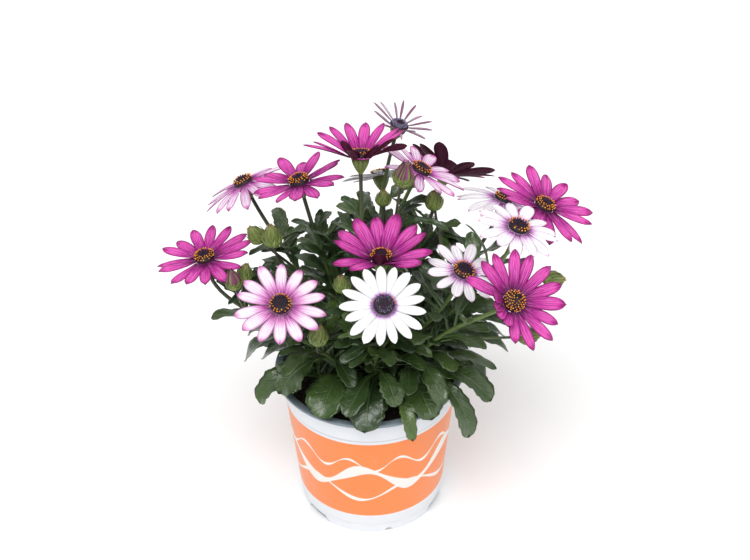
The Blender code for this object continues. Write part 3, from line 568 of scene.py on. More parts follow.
def fine_petal(pieces, bloom, petal, draw, number):
    across = np.linspace(-1, 1, PETAL_COLUMNS)
    quilled = bloom.kind == "faded"
    breadth = petal["width"] / 2 * PETAL_BREADTH.get(bloom.name, PETAL_BREADTH.get(bloom.kind, USUAL_BREADTH))
    breadth *= draw.uniform(0.90, 1.05)
    hollow = 0.9 if quilled else draw.uniform(0.05, 0.20)
    notch = draw.uniform(0.0, 0.03) * petal["length"]
    twist = draw.uniform(-0.22, 0.22)
    layer = 0.24 * (-1) ** number
    top, ups = [], []
    for s in PETAL_SHARES:
        centre, side, up = petal_spine(petal, s)
        side, up = rolled(side, up, math.degrees(twist * s * s))
        half = breadth * petal_width(s)
        lift = 0.30 * np.cos(across * math.pi * 3) * smooth(0.0, 0.25, s) * (1 - smooth(0.8, 1.0, s))
        lift += half * (hollow * across**2 - 0.12 * (1 - s) * (1 - across**2)) + layer * (1 - s)
        trim = notch * smooth(0.85, 1.0, s) * across**2
        spot = centre + side * (half * across)[:, None] + up * lift[:, None]
        top.append(spot + np.cross(up, side) * trim[:, None])
        ups.append(up)
    top = stand(np.array(top), bloom.head, bloom_axis(bloom))
    ups = np.array(ups) @ np.array(head_axes(bloom_axis(bloom)))
    withered = draw.uniform(0, 0.9 if quilled else 0.12)
    blade(pieces, top, ups, PETAL_THICKNESS, (draw.random() * 0.98 + 0.01, withered), 0, PETAL_SHARES)


def make_rays(bloom):
    pieces = Pieces()
    draw = random.Random("fine petals " + bloom.name)
    for number, petal in enumerate(petal_plan(bloom)):
        if bloom.kind == "faded":
            petal["angle"] += draw.uniform(-6, 6)
            petal["lift"] += draw.uniform(-9, 9)
            petal["length"] *= draw.uniform(0.78, 1.02)
        fine_petal(pieces, bloom, petal, draw, number)
    plate = stand(rings(PLATE, 40), bloom.head, bloom_axis(bloom))
    pieces.grid(plate, (0.5, 0.5), 0, (0.5, 0.0))
    obj = pieces.finish("petals_" + bloom.name, [petal_materials[PETAL_LOOKS.get(bloom.name, bloom.kind)]])
    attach(obj, "root")
    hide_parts("rays_" + bloom.name)


GOLDEN = math.radians(137.508)
CLOSED_SPACING = 0.50
BEAD_SPACING = 1.62
HEART = 2.6  # radius within which closed florets are always dark
# radii of the rings of open florets, which show their pollen as beads
BEAD_RINGS = {
    "front_right": (1.5, 2.6, 3.6, 4.6, 5.5),
    "middle": (3.6, 4.6, 5.5),
    "left": (3.7, 4.6, 5.5),
    "right": (3.7, 4.6, 5.5),
    "upper_left": (3.7, 4.6, 5.5),
    "front_white": (5.7,),
    "top_faded": (),
}
USUAL_RINGS = (4.6, 5.5)
# the tone of the closed florets, where it isn't dark purple
CLOSED_TONE = {"front_white": 0.43, "top_faded": 0.50}
DARK_TONE = 0.2
FLORET = ((0.8, 0.0), (1.0, 0.5), (1.15, 0.85), (0.6, 1.08))  # shares of its radius and height


def dome_height(r):
    """The height of the disc's dome over its seat, as in the part's source."""
    return 0.62 * math.sqrt(max(0.0, DISC_RADIUS**2 - r * r)) - 1.1 * (1 - r / DISC_RADIUS) ** 2


def make_disc(bloom):
    pieces = Pieces()
    draw = random.Random("florets " + bloom.name)
    axis = bloom_axis(bloom)
    seat = np.array(bloom.head) + axis * (PLATE_THICKNESS + 0.1)
    beads = BEAD_RINGS.get(bloom.name, USUAL_RINGS)
    closed_tone = CLOSED_TONE.get(bloom.name, DARK_TONE)
    shrunk, flat = (0.86, 0.62) if bloom.kind == "faded" else (1.0, 1.0)
    dome = [(r * shrunk, flat * dome_height(r) - 0.45) for r in (5.85, 5.4, 4.6, 3.6, 2.4, 1.2, 0.05)]

    def put(points, tone):
        pieces.grid(stand(points, seat, axis), tone, 0, OFF_BLADE)

    def floret(r, angle, size, tall, tone, bead):
        x, y = shrunk * r * math.cos(angle), shrunk * r * math.sin(angle)
        foot = np.array([x, y, flat * dome_height(r) - 0.6])
        lean = unit([0.06 * x, 0.06 * y, 1.0])
        body = [(size * out, tall * up) for out, up in FLORET] + [(0.02, tall * 1.12)]
        put(stand(rings(body, 6), foot, lean), (tone, r / 6))
        if bead:
            ball = [(bead * math.sin(a), -bead * math.cos(a)) for a in np.linspace(0.15, math.pi - 0.05, 6)]
            ball = stand(rings(ball, 6), foot + lean * (tall + 0.5 * bead), lean)
            put(ball, (draw.uniform(0.72, 0.98), r / 6))

    put(rings([(5.9, -0.3), *dome], 32), (0.05, 0.0))
    closed_to = beads[0] - 0.75 if beads else 5.7
    count = int((closed_to / CLOSED_SPACING) ** 2)
    for k in range(count):
        r = closed_to * math.sqrt((k + 0.5) / count)
        tone = (closed_tone if r > HEART else DARK_TONE) + draw.uniform(-0.08, 0.08)
        floret(r, GOLDEN * k, 0.24 + 0.02 * r, draw.uniform(0.75, 1.05), tone, 0)
    for ring, radius in enumerate(beads):
        number = int(TURN * radius / BEAD_SPACING)
        for k in range(number):
            angle = TURN * (k + 0.5 * (ring % 2)) / number + draw.uniform(-0.07, 0.07)
            faded = bloom.name == "front_white" and draw.random() < 0.6
            bead = 0 if faded or draw.random() < 0.06 else (0.36 + 0.02 * radius) * draw.uniform(0.85, 1.1)
            r = radius + draw.uniform(-0.15, 0.15)
            floret(r, angle, 0.26, draw.uniform(1.0, 1.4), 0.12 + 0.3 * faded, bead)
    obj = pieces.finish("florets_" + bloom.name, [disc_material])
    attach(obj, "root")
    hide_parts("disc_" + bloom.name)


# Cups and buds: bracts that follow a turned body

BRACT_THICKNESS = 0.35
CUP_BODY = ((1.3, -0.6), (1.9, 0.6), (3.2, 2.9), (4.4, 5.6), (4.9, 8.5), (0.1, 8.6))
CUP_SKIN = ((1.8, 0.5), (3.2, 2.8), (4.5, 5.6), (5.1, 8.4), (5.3, 9.3))
CUP_BRACTS = 12
# shares of a bud's radius and height
BUD_BODY = ((0.60, 0.05), (0.90, 0.20), (0.93, 0.36), (0.80, 0.56), (0.52, 0.76), (0.16, 0.92))
BUD_BRACTS = ((0.97, 9, 0.35), (0.84, 10, 0.5), (0.66, 10, 0.6))  # reach, number and flare of each row
OPENING_BUDS = (("upper_middle", "a"), ("left", "a"))  # their petals show over the bracts


def bract(pieces, profile, high, angle, width, proud, at, axis, own, slot, flare=0.0):
    """A lance-shaped scale that lies on a turned body up to a share of its profile."""
    radii, heights = np.asarray(profile, float).T
    marks = np.linspace(0, 1, len(radii))
    across = np.linspace(-1, 1, 5)
    top = []
    for t in np.linspace(0, 1, 8):
        r, z = np.interp(high * t, marks, radii), np.interp(high * t, marks, heights)
        lance = (0.55 + 0.45 * math.sin(math.pi * min(1.0, t * 1.3))) * (1 - smooth(0.45, 1.0, t))
        turn = angle + width * lance / max(r, 1.0) * across
        rise = proud * (0.35 + 0.65 * t) + flare * t * t + proud * 0.5 * (1 - across**2)
        top.append(np.stack([(r + rise) * np.cos(turn), (r + rise) * np.sin(turn), np.full(5, z)], -1))
    top = stand(np.array(top), at, axis)
    up = np.array([math.cos(angle), math.sin(angle), 0.2]) @ np.array(head_axes(unit(axis)))
    depth = BRACT_THICKNESS * np.ones((*top.shape[:2], 1))
    depth[-1] = depth[:, 0] = depth[:, -1] = 0
    pieces.grid(top, (own, 0.5), slot)
    pieces.grid(top - up * depth, (own, 0.5), slot, wrap_shape(*top.shape[:2]) + UNDERSIDE, flip=True)


def fine_cup(pieces, bloom, slot):
    draw = random.Random("cup " + bloom.name)
    axis = bloom_axis(bloom)
    at = np.array(bloom.head) - axis * CUP_HEIGHT
    pieces.grid(stand(rings(CUP_BODY, 28), at, axis), (0.3, 0.5), slot)
    for row, high in enumerate((1.0, 0.82)):
        for k in range(CUP_BRACTS):
            angle = TURN * (k + 0.5 * row) / CUP_BRACTS + draw.uniform(-0.05, 0.05)
            reach = high - draw.uniform(0, 0.08)
            bract(pieces, CUP_SKIN, reach, angle, 1.15, 0.15 + 0.12 * row, at, axis, draw.random(), slot)


def fine_bud(pieces, bud, slot, petal_slot):
    draw = random.Random(f"bud {bud.stem} {bud.name}")
    w, h = bud.width / 2, bud.height
    axis = heading(90 - bud.lean, bud.toward)
    at = np.array(bud.at) - axis * h / 2
    skin = [(w * out, h * up) for out, up in BUD_BODY]
    pieces.grid(stand(rings([(0.9, -0.8), *skin, (0.05, h * 0.95)], 24), at, axis), (0.45, 0.5), slot)
    opening = (bud.stem, bud.name) in OPENING_BUDS
    for row, (high, count, flare) in enumerate(BUD_BRACTS):
        for k in range(count):
            angle = TURN * (k + 0.5 * row) / count + draw.uniform(-0.08, 0.08)
            reach = (0.66 if opening else 1.0) * (high - draw.uniform(0, 0.08))
            spread = flare * draw.uniform(0.2, 1.0) * (1.6 if opening else 1.0)
            proud = 0.22 + 0.24 * row
            bract(pieces, skin, reach, angle, w * 0.34, proud, at, axis, draw.random(), slot, spread)
    # the petals' tips: number, height of their feet, how far out they start and end, radius and tone
    count, low, wide, inner, thick, tone = (15, 0.40, 0.80, 0.34, 1.0, 0.0)
    if not opening:
        count, low, wide, inner, thick, tone = (5, 0.72, 0.34, 0.22, 0.75, 0.5)
    for k in range(count):
        out = heading(0, math.degrees(TURN * k / count + draw.uniform(-0.2, 0.2))) * w
        tip = out * inner + [0, 0, h * (1.0 - 0.05 * (k % 3))]
        foot = out * wide + [0, 0, h * low]
        path = bezier_path(foot, foot + [0, 0, h * 0.20], tip - [0, 0, h * 0.10], tip)
        path = Path(stand(path.points, at, axis), path.tangents @ np.array(head_axes(axis)))
        fine_tube(pieces, path, (thick, 0.12), petal_slot, draw.uniform(0, 0.5) + tone, 6, 7)


# Stems with their leaves


def placed_leaves(name, wanted):
    """The leaves that the solid of this stem holds: a leaf grew where the solid has its tip."""
    mesh = nodes["stem_" + name].data
    tree = kdtree.KDTree(len(mesh.vertices))
    for i, vert in enumerate(mesh.vertices):
        tree.insert(vert.co / MM, i)
    tree.balance()
    for leaf in wanted:
        for choice in leaf_choices(leaf):
            if tree.find(Vector(leaf_spine(choice, 1.0)[0]))[2] < TIP_FOUND:
                yield choice
                break


def tree_of(kinds):
    """A search tree over the solids whose names start so, in millimetres."""
    points, faces = [], []
    for name, node in nodes.items():
        if name.startswith(kinds):
            faces += [[len(points) + i for i in polygon.vertices] for polygon in node.data.polygons]
            points += [vert.co / MM for vert in node.data.vertices]
    return BVHTree.FromPolygons(points, faces)


# Leaves that show between the blooms: share of the stem, tip, slack, width, roll and lightness. The lightness
# is a lighter green, painted light on the leaves that catch the most light.
SHOWN_LEAVES = {
    "top": (
        (0.78, (-15, 4, 225), 1.10, 9, 0, 0.7),
        (0.76, (0, 20, 218), 1.15, 8, 0, 0.5),
        (0.48, (-17, -2, 203), 1.08, 12, 0, 0.35),
        (0.40, (-24, -14, 190), 1.10, 13, -15, 0.2),
    ),
    "upper_left": (
        (0.78, (-27, 14, 211), 1.08, 6, 10, 0.3),
        (0.72, (-22, 6, 214), 1.08, 6, -10, 0.5),
        (0.70, (-45, 4, 209), 1.15, 8, 0, 0.4),
        (0.52, (-33, -2, 207), 1.08, 13, 0, 0.15),
        (0.46, (-26, -7, 200), 1.10, 13, 10, 0.2),
        (0.48, (-43, -4, 196), 1.10, 12, -10, 0.3),
        (0.34, (-38, -8, 199), 1.06, 15, 0, 0.15),
        (0.40, (-45, 0, 187), 1.08, 16, 0, 0.2),
        (0.32, (-42, -2, 178), 1.08, 15, 0, 0.3),
    ),
    "upper_middle": (
        (0.76, (43, 8, 216), 1.22, 10, 0, 0.4),
        (0.74, (34, 20, 209), 1.10, 7, 0, 0.2),
        (0.64, (50, 4, 199), 1.30, 7, 25, 0.3),
    ),
    "left": (
        (0.66, (-83, -12, 175), 1.12, 13, 0, 0.4),
        (0.58, (-84, -18, 164), 1.15, 11, 0, 0.3),
        (0.50, (-70, 0, 178), 1.15, 12, 0, 0.2),
    ),
    "back_left": ((0.62, (-72, 10, 181), 1.12, 11, 0, 0.3), (0.56, (-65, 16, 179), 1.12, 11, 0, 0.2)),
    "front_left": ((0.35, (-49, -45, 152), 1.20, 13, 10, 0.9), (0.30, (-26, -40, 149), 1.20, 12, -10, 1.0)),
    "front_white": (
        (0.24, (-12, -35, 142), 1.25, 12, 10, 1.0),
        (0.22, (-2, -45, 138), 1.20, 11, 0, 1.0),
        (0.22, (19, -40, 137), 1.25, 12, -10, 1.0),
        (0.20, (38, -40, 139), 1.30, 11, 20, 1.0),
        (0.34, (12, -25, 143), 1.20, 10, 0, 0.9),
    ),
    "front_right_white": (
        (0.22, (26, -20, 142), 1.15, 10, 0, 0.8),
        (0.30, (43, -35, 144), 1.15, 11, 0, 0.5),
    ),
    "front_right": (
        (0.36, (61, -35, 142), 1.15, 12, 0, 0.4),
        (0.40, (84, -35, 138), 1.12, 12, 0, 0.5),
        (0.38, (83, -20, 138), 1.12, 12, 0, 0.3),
        (0.50, (88, -30, 152), 1.12, 11, 0, 0.4),
    ),
    "right_white": (
        (0.72, (57, -12, 216), 1.30, 3, 40, 0.5),
        (0.30, (68, -10, 142), 1.15, 11, 0, 0.3),
        (0.36, (80, 0, 137), 1.12, 12, 0, 0.2),
    ),
}

TIP_FOUND = 0.02  # distance from a leaf's tip to a corner of the solid
CLEARANCE = 2.2
CANOPY = (214.0, 0.0085, 0.0060)  # height over the middle, and its fall with the square of x and of y
STEM_SEEN = 0.0035  # angle in radians that a stem keeps clear in the photograph
TRIES = 18


def has_room(leaf):
    """Whether a leaf is in the plant's box, clear of blooms and pot, and hides no bloom from the front."""
    for s in np.linspace(0.16, 1.0, 8):
        centre, side, _ = leaf_spine(leaf, s)
        half = leaf.width / 2 * leaf_width(s)
        for off in (-half, 0.0, half):
            x, y, z = point = Vector(centre + side * off)
            if not all(low < at < high for low, at, high in zip(BOX_LOW, point, BOX_HIGH)):
                return False
            if z > CANOPY[0] - CANOPY[1] * x * x - CANOPY[2] * y * y:
                return False
            if z < SOIL_TOP + 1.0 and s > 0.3 or crowded.find_nearest(point, CLEARANCE)[0]:
                return False
            if blooms_tree.ray_cast(point, point - Vector(CAMERA))[0] or hides_stem(point):
                return False
    return True


def from_camera(points):
    """Directions and distances of points from the camera."""
    span = np.atleast_2d(points) - np.array(CAMERA)
    far = np.linalg.norm(span, axis=1)
    return span / far[:, None], far


def hides_stem(point):
    """Whether a point lies before the bare upper part of a stem, seen from the front."""
    toward, far = from_camera(point)
    near = np.linalg.norm(bare_stems[0] - toward, axis=1) < STEM_SEEN
    return bool((near & (bare_stems[1] > far)).any())


def extra_leaves(name, path, last, count):
    """Leaves that fill the plant between those of its solids: the shown ones, then smaller ones by chance."""
    for share, tip, slack, width, roll, painted_light_and_tone in SHOWN_LEAVES.get(name, ()):
        yield arched_leaf(on_path(path, share)[0], tip, slack, width, roll)._replace(placed=False), painted_light_and_tone
    draw = random.Random("extra leaves " + name)
    for i in range(count):
        base, _ = on_path(path, 0.03 + (last - 0.03) * i / count)
        height = (base[2] - SOIL_TOP) / 100.0
        for _ in range(TRIES):
            length = draw.uniform(24, 40) * (1.0 - 0.18 * height)
            bearing, rise, droop = draw.uniform(0, 360), draw.uniform(28, 72), draw.uniform(10, 70)
            width = length * draw.uniform(0.28, 0.42)
            leaf = Leaf(tuple(base), bearing, rise, droop, length, width, draw.uniform(-25, 25))
            if has_room(leaf):
                yield leaf, draw.random()
                break


# How far a stem turns purple toward its bloom
STEM_FLUSH = {
    "front_right": 0.2, "front_right_white": 0.2, "right_white": 0.3, "upper_middle": 0.4, "left": 0.7,
}
STEM_BOTTOM = SOIL_TOP - 6.0
BUD_STALK = (0.95, 0.8)  # radii at its start and under the bud
BLADES, STALKS, BRACTS, TIPS = range(4)  # the materials of a leafy stem


def make_stem(name, path, wanted, tip_radius, extra, bloom=None):
    pieces = Pieces()
    draw = random.Random("stem " + name)
    own, flush = draw.random(), STEM_FLUSH.get(name, 1.0)
    fine_tube(pieces, path, (STEM_RADIUS, tip_radius), STALKS, own, bottom=STEM_BOTTOM, flush=flush)
    for leaf in placed_leaves(name, wanted):
        # the leaves of the solids get a lighter green: painted light for the light that the large front
        # leaves catch
        fine_leaf(pieces, leaf, BLADES, draw.uniform(0.50, 0.85))
    for leaf, painted_light_and_tone in extra:
        fine_leaf(pieces, leaf, BLADES, painted_light_and_tone, EXTRA_LEAF_ROWS)
    if bloom:
        fine_cup(pieces, bloom, BRACTS)
        for bud in BUDS:
            if bud.stem == bloom.name:
                fine_tube(pieces, bud_path(bud, path), BUD_STALK, STALKS, draw.random(), 8, 14)
                fine_bud(pieces, bud, BRACTS, TIPS)
    materials = [leaf_material, stem_material, bract_material, tip_material]
    obj = pieces.finish("stem_and_leaves_" + name, materials)
    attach(obj, "root")
    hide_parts("stem_" + name)


# Pot and compost


def foot_edge(bearing):
    """Height of the pot's lower edge at a bearing, where its arches and nicks are cut."""
    height = 0.0
    for bearings, half, top in (FOOT_ARCHES, FOOT_NICKS):
        for middle in bearings:
            off = abs((bearing - middle + 180) % 360 - 180)
            height = max(height, top * (1 - smooth(0.72, 1.0, off / half)))
    return height


def wall_between(low, high, heights):
    """Points of a straight wall from one (radius, height) to another."""
    return [(np.interp(h, (low[1], high[1]), (low[0], high[0])), h) for h in heights]


AXIS_RADIUS = 0.05  # where a turned shape closes on its axis
LIP_ROWS = 8  # the first rows of the pot's profile, which have the colour of its inside
INSIDE_TONE, OUTSIDE_TONE = 0.99, 0.01


def make_pot():
    pieces = Pieces()
    sides = 240
    lip, under_lip = LIP_RADIUS, POT_HEIGHT - LIP_THICKNESS
    shoulder, ledge, wall_top = SHOULDER
    neck = shoulder[0]
    inner, outer = CHANNEL
    mouth = (neck - WALL, POT_HEIGHT - 0.35)
    profile = [
        mouth, (neck - WALL + 0.5, POT_HEIGHT), (lip - 0.6, POT_HEIGHT), (lip - 0.1, POT_HEIGHT - 0.3),
        (lip, POT_HEIGHT - 0.9), (lip - 0.15, under_lip + 0.2), (lip - 0.6, under_lip),
        (neck + 0.7, under_lip), (neck + 0.05, under_lip - 0.5),
        *wall_between(ledge, shoulder, (98, 94, 90, 87)),
        (55.0, 86.1), (54.85, 85.6), (54.35, 85.0), (54.2, 84.4),
        *wall_between(FOOT_STEP[0], wall_top, (82, 76, 70, 62, 54, 46, 38, 30, 22, 16, 11, 8.6)),
    ]
    foot = [
        (46.85, 8.0), (46.3, 7.3), (46.15, 6.8), (46.0, 5.4), (45.9, 4.4), (45.8, 2.6), (45.7, 1.2),
        (FOOT_RADIUS, 0.5), (FOOT_RADIUS - 0.3, 0.0), (44.9, 0.0), (44.5, 0.6),
    ]
    base = [
        (42.5, 0.3), (outer + 1.0, 0.0), (outer, CHANNEL_HEIGHT), (36, CHANNEL_HEIGHT),
        (inner, CHANNEL_HEIGHT), (inner - 1.0, 0.0), (12, 0.0), (AXIS_RADIUS, 0.0),
    ]
    first = len(profile)
    profile += foot + base
    points = rings(profile, sides)
    edge = np.array([foot_edge(bearing) for bearing in np.linspace(0, 360, sides + 1)])
    cut = points[first : first + len(foot), :, 2]
    np.maximum(cut, edge, out=cut)
    region = np.where(np.arange(len(profile)) < LIP_ROWS, INSIDE_TONE, OUTSIDE_TONE)[:, None]
    tone = np.stack(np.broadcast_arrays(region, 0.5 * np.ones(sides + 1)), -1)
    pieces.grid(points, tone, flip=True)
    channel_top = CHANNEL_HEIGHT + WALL
    inside = [
        mouth, (54.6, 92), (54.0, 86.2), (53.2, 84.8), (51.2, 62), (48.5, 34), (45.9, 8.0), (45.0, 6.5),
        (44.5, 1.2), (outer + 1.6, WALL), (outer + 0.6, channel_top),
        (inner - 0.6, channel_top), (inner - 1.6, WALL), (AXIS_RADIUS, WALL),
    ]
    pieces.grid(rings(inside, 120), (INSIDE_TONE, 0.5))
    obj = pieces.finish("pot_moulding", [pot_material])
    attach(obj, "root")
    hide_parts("pot")


COMPOST_RADIUS = 54.1
COMPOST_FALL = 2.6  # from the middle to the edge
CRUMBS = 420


def make_compost():
    pieces = Pieces()
    draw = random.Random("compost")
    top = [(0.3, SOIL_TOP - 0.2)]
    for share in np.arange(1, 23) / 22:
        top.append((COMPOST_RADIUS * share, SOIL_TOP + 0.3 - COMPOST_FALL * share**3))
    points = rings(top, 96)
    rough = np.array([[draw.uniform(-1, 1) for _ in range(97)] for _ in top])
    rough[:, -1] = rough[:, 0]
    rough[0] = 0
    points[:, :, 2] += 0.55 * rough - 0.5
    pieces.grid(points, (0.5, 0.5))
    side = [(COMPOST_RADIUS, SOIL_TOP - 2.8), (53.4, 86.4), (52.8, 84.8), (46, 10.0), (42.6, 4.8)]
    low = [*side, (AXIS_RADIUS, side[-1][1])]
    pieces.grid(rings(low, 96), (0.5, 0.5), flip=True)
    for _ in range(CRUMBS):
        r, a = 53 * math.sqrt(draw.random()), draw.uniform(0, TURN)
        size = draw.uniform(0.6, 1.7)
        height = SOIL_TOP - 0.1 - COMPOST_FALL * (r / COMPOST_RADIUS) ** 3
        at = np.array([r * math.cos(a), r * math.sin(a), height])
        bends = np.linspace(0.1, 3.0, 4)
        lump = [(size * math.sin(b) * draw.uniform(0.8, 1.1), -0.7 * size * math.cos(b)) for b in bends]
        axis = unit([draw.uniform(-1, 1), draw.uniform(-1, 1), 1.2])
        pieces.grid(stand(rings(lump, 5), at, axis), (draw.random(), 0.5), 0, OFF_BLADE)
    obj = pieces.finish("compost", [soil_material])
    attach(obj, "root")
    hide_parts("soil")


# Materials


class Net:
    """Builds a Principled material from nodes. Values are numbers, colours or the sockets of nodes."""

    def __init__(self, name):
        self.material = bpy.data.materials.new(name)
        self.material.use_nodes = True
        self.tree = self.material.node_tree
        self.shader = self.tree.nodes["Principled BSDF"]

    def put(self, socket, value):
        if isinstance(value, bpy.types.NodeSocket):
            self.tree.links.new(value, socket)
        elif hasattr(value, "__len__") and len(value) == 3 and socket.type == "RGBA":
            socket.default_value = (*value, 1.0)
        else:
            socket.default_value = value

    def set(self, node=None, **values):
        """Sets named inputs, of the shader where no node is given."""
        inputs = (self.shader if node is None else node).inputs
        for name, value in values.items():
            self.put(inputs[name.replace("_", " ")], value)

    def add(self, kind, *values):
        """A node with its first inputs set."""
        node = self.tree.nodes.new("ShaderNode" + kind)
        for socket, value in zip(node.inputs, values):
            self.put(socket, value)
        return node

    def math(self, operation, a, b=0.0, c=0.0):
        node = self.add("Math", a, b, c)
        node.operation = operation
        return node.outputs[0]

    def times(self, a, b):
        return self.math("MULTIPLY", a, b)

    def minus(self, a, b):
        return self.math("SUBTRACT", a, b)

    def scaled(self, x, slope, start):
        return self.math("MULTIPLY_ADD", x, slope, start)

    def off_middle(self, x):
        """How far x is from halfway between two whole numbers."""
        return self.math("ABSOLUTE", self.minus(self.math("FRACT", x), 0.5))

    def step(self, low, high, x):
        """0 to 1 as x goes from low to high."""
        node = self.add("MapRange", x, low, high)
        node.interpolation_type = "SMOOTHSTEP"
        return node.outputs[0]

    def mix(self, factor, a, b):
        node = self.add("Mix")
        node.data_type = "RGBA"
        self.put(node.inputs["Factor"], factor)
        self.put(node.inputs[6], a)
        self.put(node.inputs[7], b)
        return node.outputs[2]

    def coats(self, colour, *coats):
        """A colour under coats laid on in turn, each (colour, mask, share of the mask)."""
        for coat, mask, share in coats:
            colour = self.mix(self.times(mask, share), colour, coat)
        return colour

    def ramp(self, factor, stops):
        """A colour that runs through (place, colour) stops."""
        node = self.add("ValToRGB", factor)
        elements = node.color_ramp.elements
        for place, _ in stops[1:-1]:
            elements.new(place)
        for element, (_, colour) in zip(elements, stops):
            element.color = (*colour, 1.0)
        return node.outputs[0]

    def split(self, vector):
        return self.add("SeparateXYZ", vector).outputs

    def layer(self, name):
        node = self.add("UVMap")
        node.uv_map = name
        return self.split(node.outputs[0])[:2]

    def place(self):
        return self.add("TexCoord").outputs["Object"]

    def vector(self, x, y, z):
        return self.add("CombineXYZ", x, y, z).outputs[0]

    def noise(self, scale, detail=3.0, vector=None):
        node = self.add("TexNoise", self.place() if vector is None else vector)
        self.set(node, Scale=scale, Detail=detail)
        return node.outputs["Fac"]

    def bump(self, height, strength, distance):
        node = self.add("Bump")
        self.set(node, Height=height, Strength=strength, Distance=distance)
        self.set(Normal=node.outputs[0])


def blade_terms(net):
    """(place across from -1 to 1, its distance from the midline, share along, 1 on the underside)."""
    x, along = net.layer("shape")
    under = net.math("GREATER_THAN", x, 1.5)
    across = net.minus(net.times(net.minus(x, net.times(under, UNDERSIDE[0])), 2.0), 1.0)
    return across, net.math("ABSOLUTE", across), along, under


def leaf_net():
    net = Net("leaf")
    _, away, along, under = blade_terms(net)
    own, painted_light_and_tone = net.layer("tone")
    rib = net.times(net.step(0.10, 0.03, away), net.step(1.0, 0.55, along))
    vein_at = net.times(net.minus(along, net.times(away, 0.16)), 9.0)
    vein = net.times(net.step(0.12, 0.02, net.off_middle(vein_at)), net.step(1.0, 0.5, away))
    blotch = net.noise(90.0)
    colour = net.coats(
        net.mix(own, (0.014, 0.040, 0.010), (0.046, 0.092, 0.022)),
        # a lighter green: painted light on the solids' leaves and the well-lit listed ones; on the leaves
        # added by chance it differs at random
        (net.mix(own, (0.055, 0.112, 0.020), (0.110, 0.185, 0.036)), net.step(0.45, 0.95, painted_light_and_tone), 0.95),
        ((0.040, 0.082, 0.022), net.step(0.38, 0.70, blotch), 0.35),
        ((0.11, 0.17, 0.06), vein, 0.09),
        ((0.14, 0.22, 0.07), rib, 0.55),
        ((0.19, 0.27, 0.12), net.step(0.93, 0.99, away), 0.60),
        ((0.075, 0.125, 0.045), under, 0.75),
    )
    net.set(Base_Color=colour, Roughness=net.scaled(blotch, 0.30, 0.18))
    net.set(Specular_IOR_Level=0.75, IOR=1.45, Coat_Weight=0.45, Coat_Roughness=0.26)
    relief = net.math("ADD", net.times(vein, 0.25), rib)
    net.bump(net.minus(net.noise(240.0, 2.0), relief), 0.8, 0.0011)
    return net.material


def stem_net():
    net = Net("stem")
    own, along = net.layer("tone")
    streak = net.noise(260.0)
    reach = net.math("ADD", along, net.scaled(own, 0.5, -0.25))
    green = net.mix(own, (0.100, 0.160, 0.042), (0.16, 0.24, 0.07))
    purple = net.mix(own, (0.030, 0.022, 0.024), (0.060, 0.060, 0.036))
    colour = net.mix(net.step(0.40, 0.85, reach), green, purple)
    colour = net.coats(colour, ((0.06, 0.05, 0.035), net.step(0.5, 0.75, streak), 0.4))
    net.set(Base_Color=colour, Roughness=net.scaled(streak, 0.2, 0.42))
    net.bump(net.noise(1500.0, 2.0), 0.35, 0.0003)
    return net.material


def bract_net():
    net = Net("bract")
    _, away, along, _ = blade_terms(net)
    own, _ = net.layer("tone")
    colour = net.coats(
        net.mix(own, (0.135, 0.200, 0.038), (0.240, 0.310, 0.070)),
        ((0.035, 0.055, 0.020), net.step(0.32, 0.05, away), 0.55),
        ((0.110, 0.045, 0.030), net.step(0.66, 0.96, along), 0.80),
        ((0.30, 0.36, 0.16), net.step(0.66, 0.96, away), 0.45),
    )
    net.set(Base_Color=colour, Roughness=net.scaled(net.noise(300.0), 0.2, 0.40))
    net.bump(net.noise(900.0, 2.0), 0.4, 0.0004)
    return net.material


def petal_net(name, stops, edge_tint_and_shade, streak, speckle, under):
    """stops run from disc to tip; the edge tint and streak are (colour, share); under is (ground, stripe). On
    the pink and plain white petals the edge tint is painted shade between overlapping petals; on the blush
    petals it is their own magenta edge.
    """
    net = Net(name)
    w, away, along, below = blade_terms(net)
    own, withered = net.layer("tone")
    seed = net.times(own, 40.0)
    lines = net.noise(1.0, 1.0, net.vector(net.times(w, 3.0), net.times(along, 0.8), seed))
    fine = net.noise(1.0, 2.0, net.vector(net.times(w, 9.0), net.times(along, 4.0), seed))
    wander = net.scaled(lines, 0.9, net.times(w, 3.4))
    vein = net.times(net.step(0.24, 0.02, net.off_middle(wander)), net.step(1.0, 0.55, along))
    ragged = net.scaled(lines, 0.18, net.scaled(vein, -0.09, -0.06))
    shade = net.ramp(net.math("ADD", along, net.times(net.step(0.0, 0.2, along), ragged)), stops)
    colour = net.coats(
        shade,
        (streak[0], vein, streak[1]),
        (speckle, net.step(0.48, 0.68, fine), 0.40),
        # outer edges: painted shade between overlapping petals on the pink and plain white kinds
        (edge_tint_and_shade[0], net.times(net.step(0.60, 0.95, away), net.step(0.0, 0.4, along)), edge_tint_and_shade[1]),
    )
    colour = net.mix(withered, colour, streak[0])
    stripe = net.step(0.75, 0.15, net.math("ADD", away, net.times(lines, 0.3)))
    back = net.coats(net.mix(stripe, *under), (under[0], net.step(0.45, 0.7, fine), 0.3))
    net.set(Base_Color=net.mix(below, colour, back), Roughness=net.scaled(lines, 0.2, 0.42))
    net.set(Specular_IOR_Level=0.18)
    net.set(Subsurface_Weight=0.12, Subsurface_Scale=0.0010, Subsurface_Radius=(1.0, 0.5, 0.8))
    net.bump(net.minus(net.times(fine, 0.4), vein), 0.5, 0.0007)
    return net.material


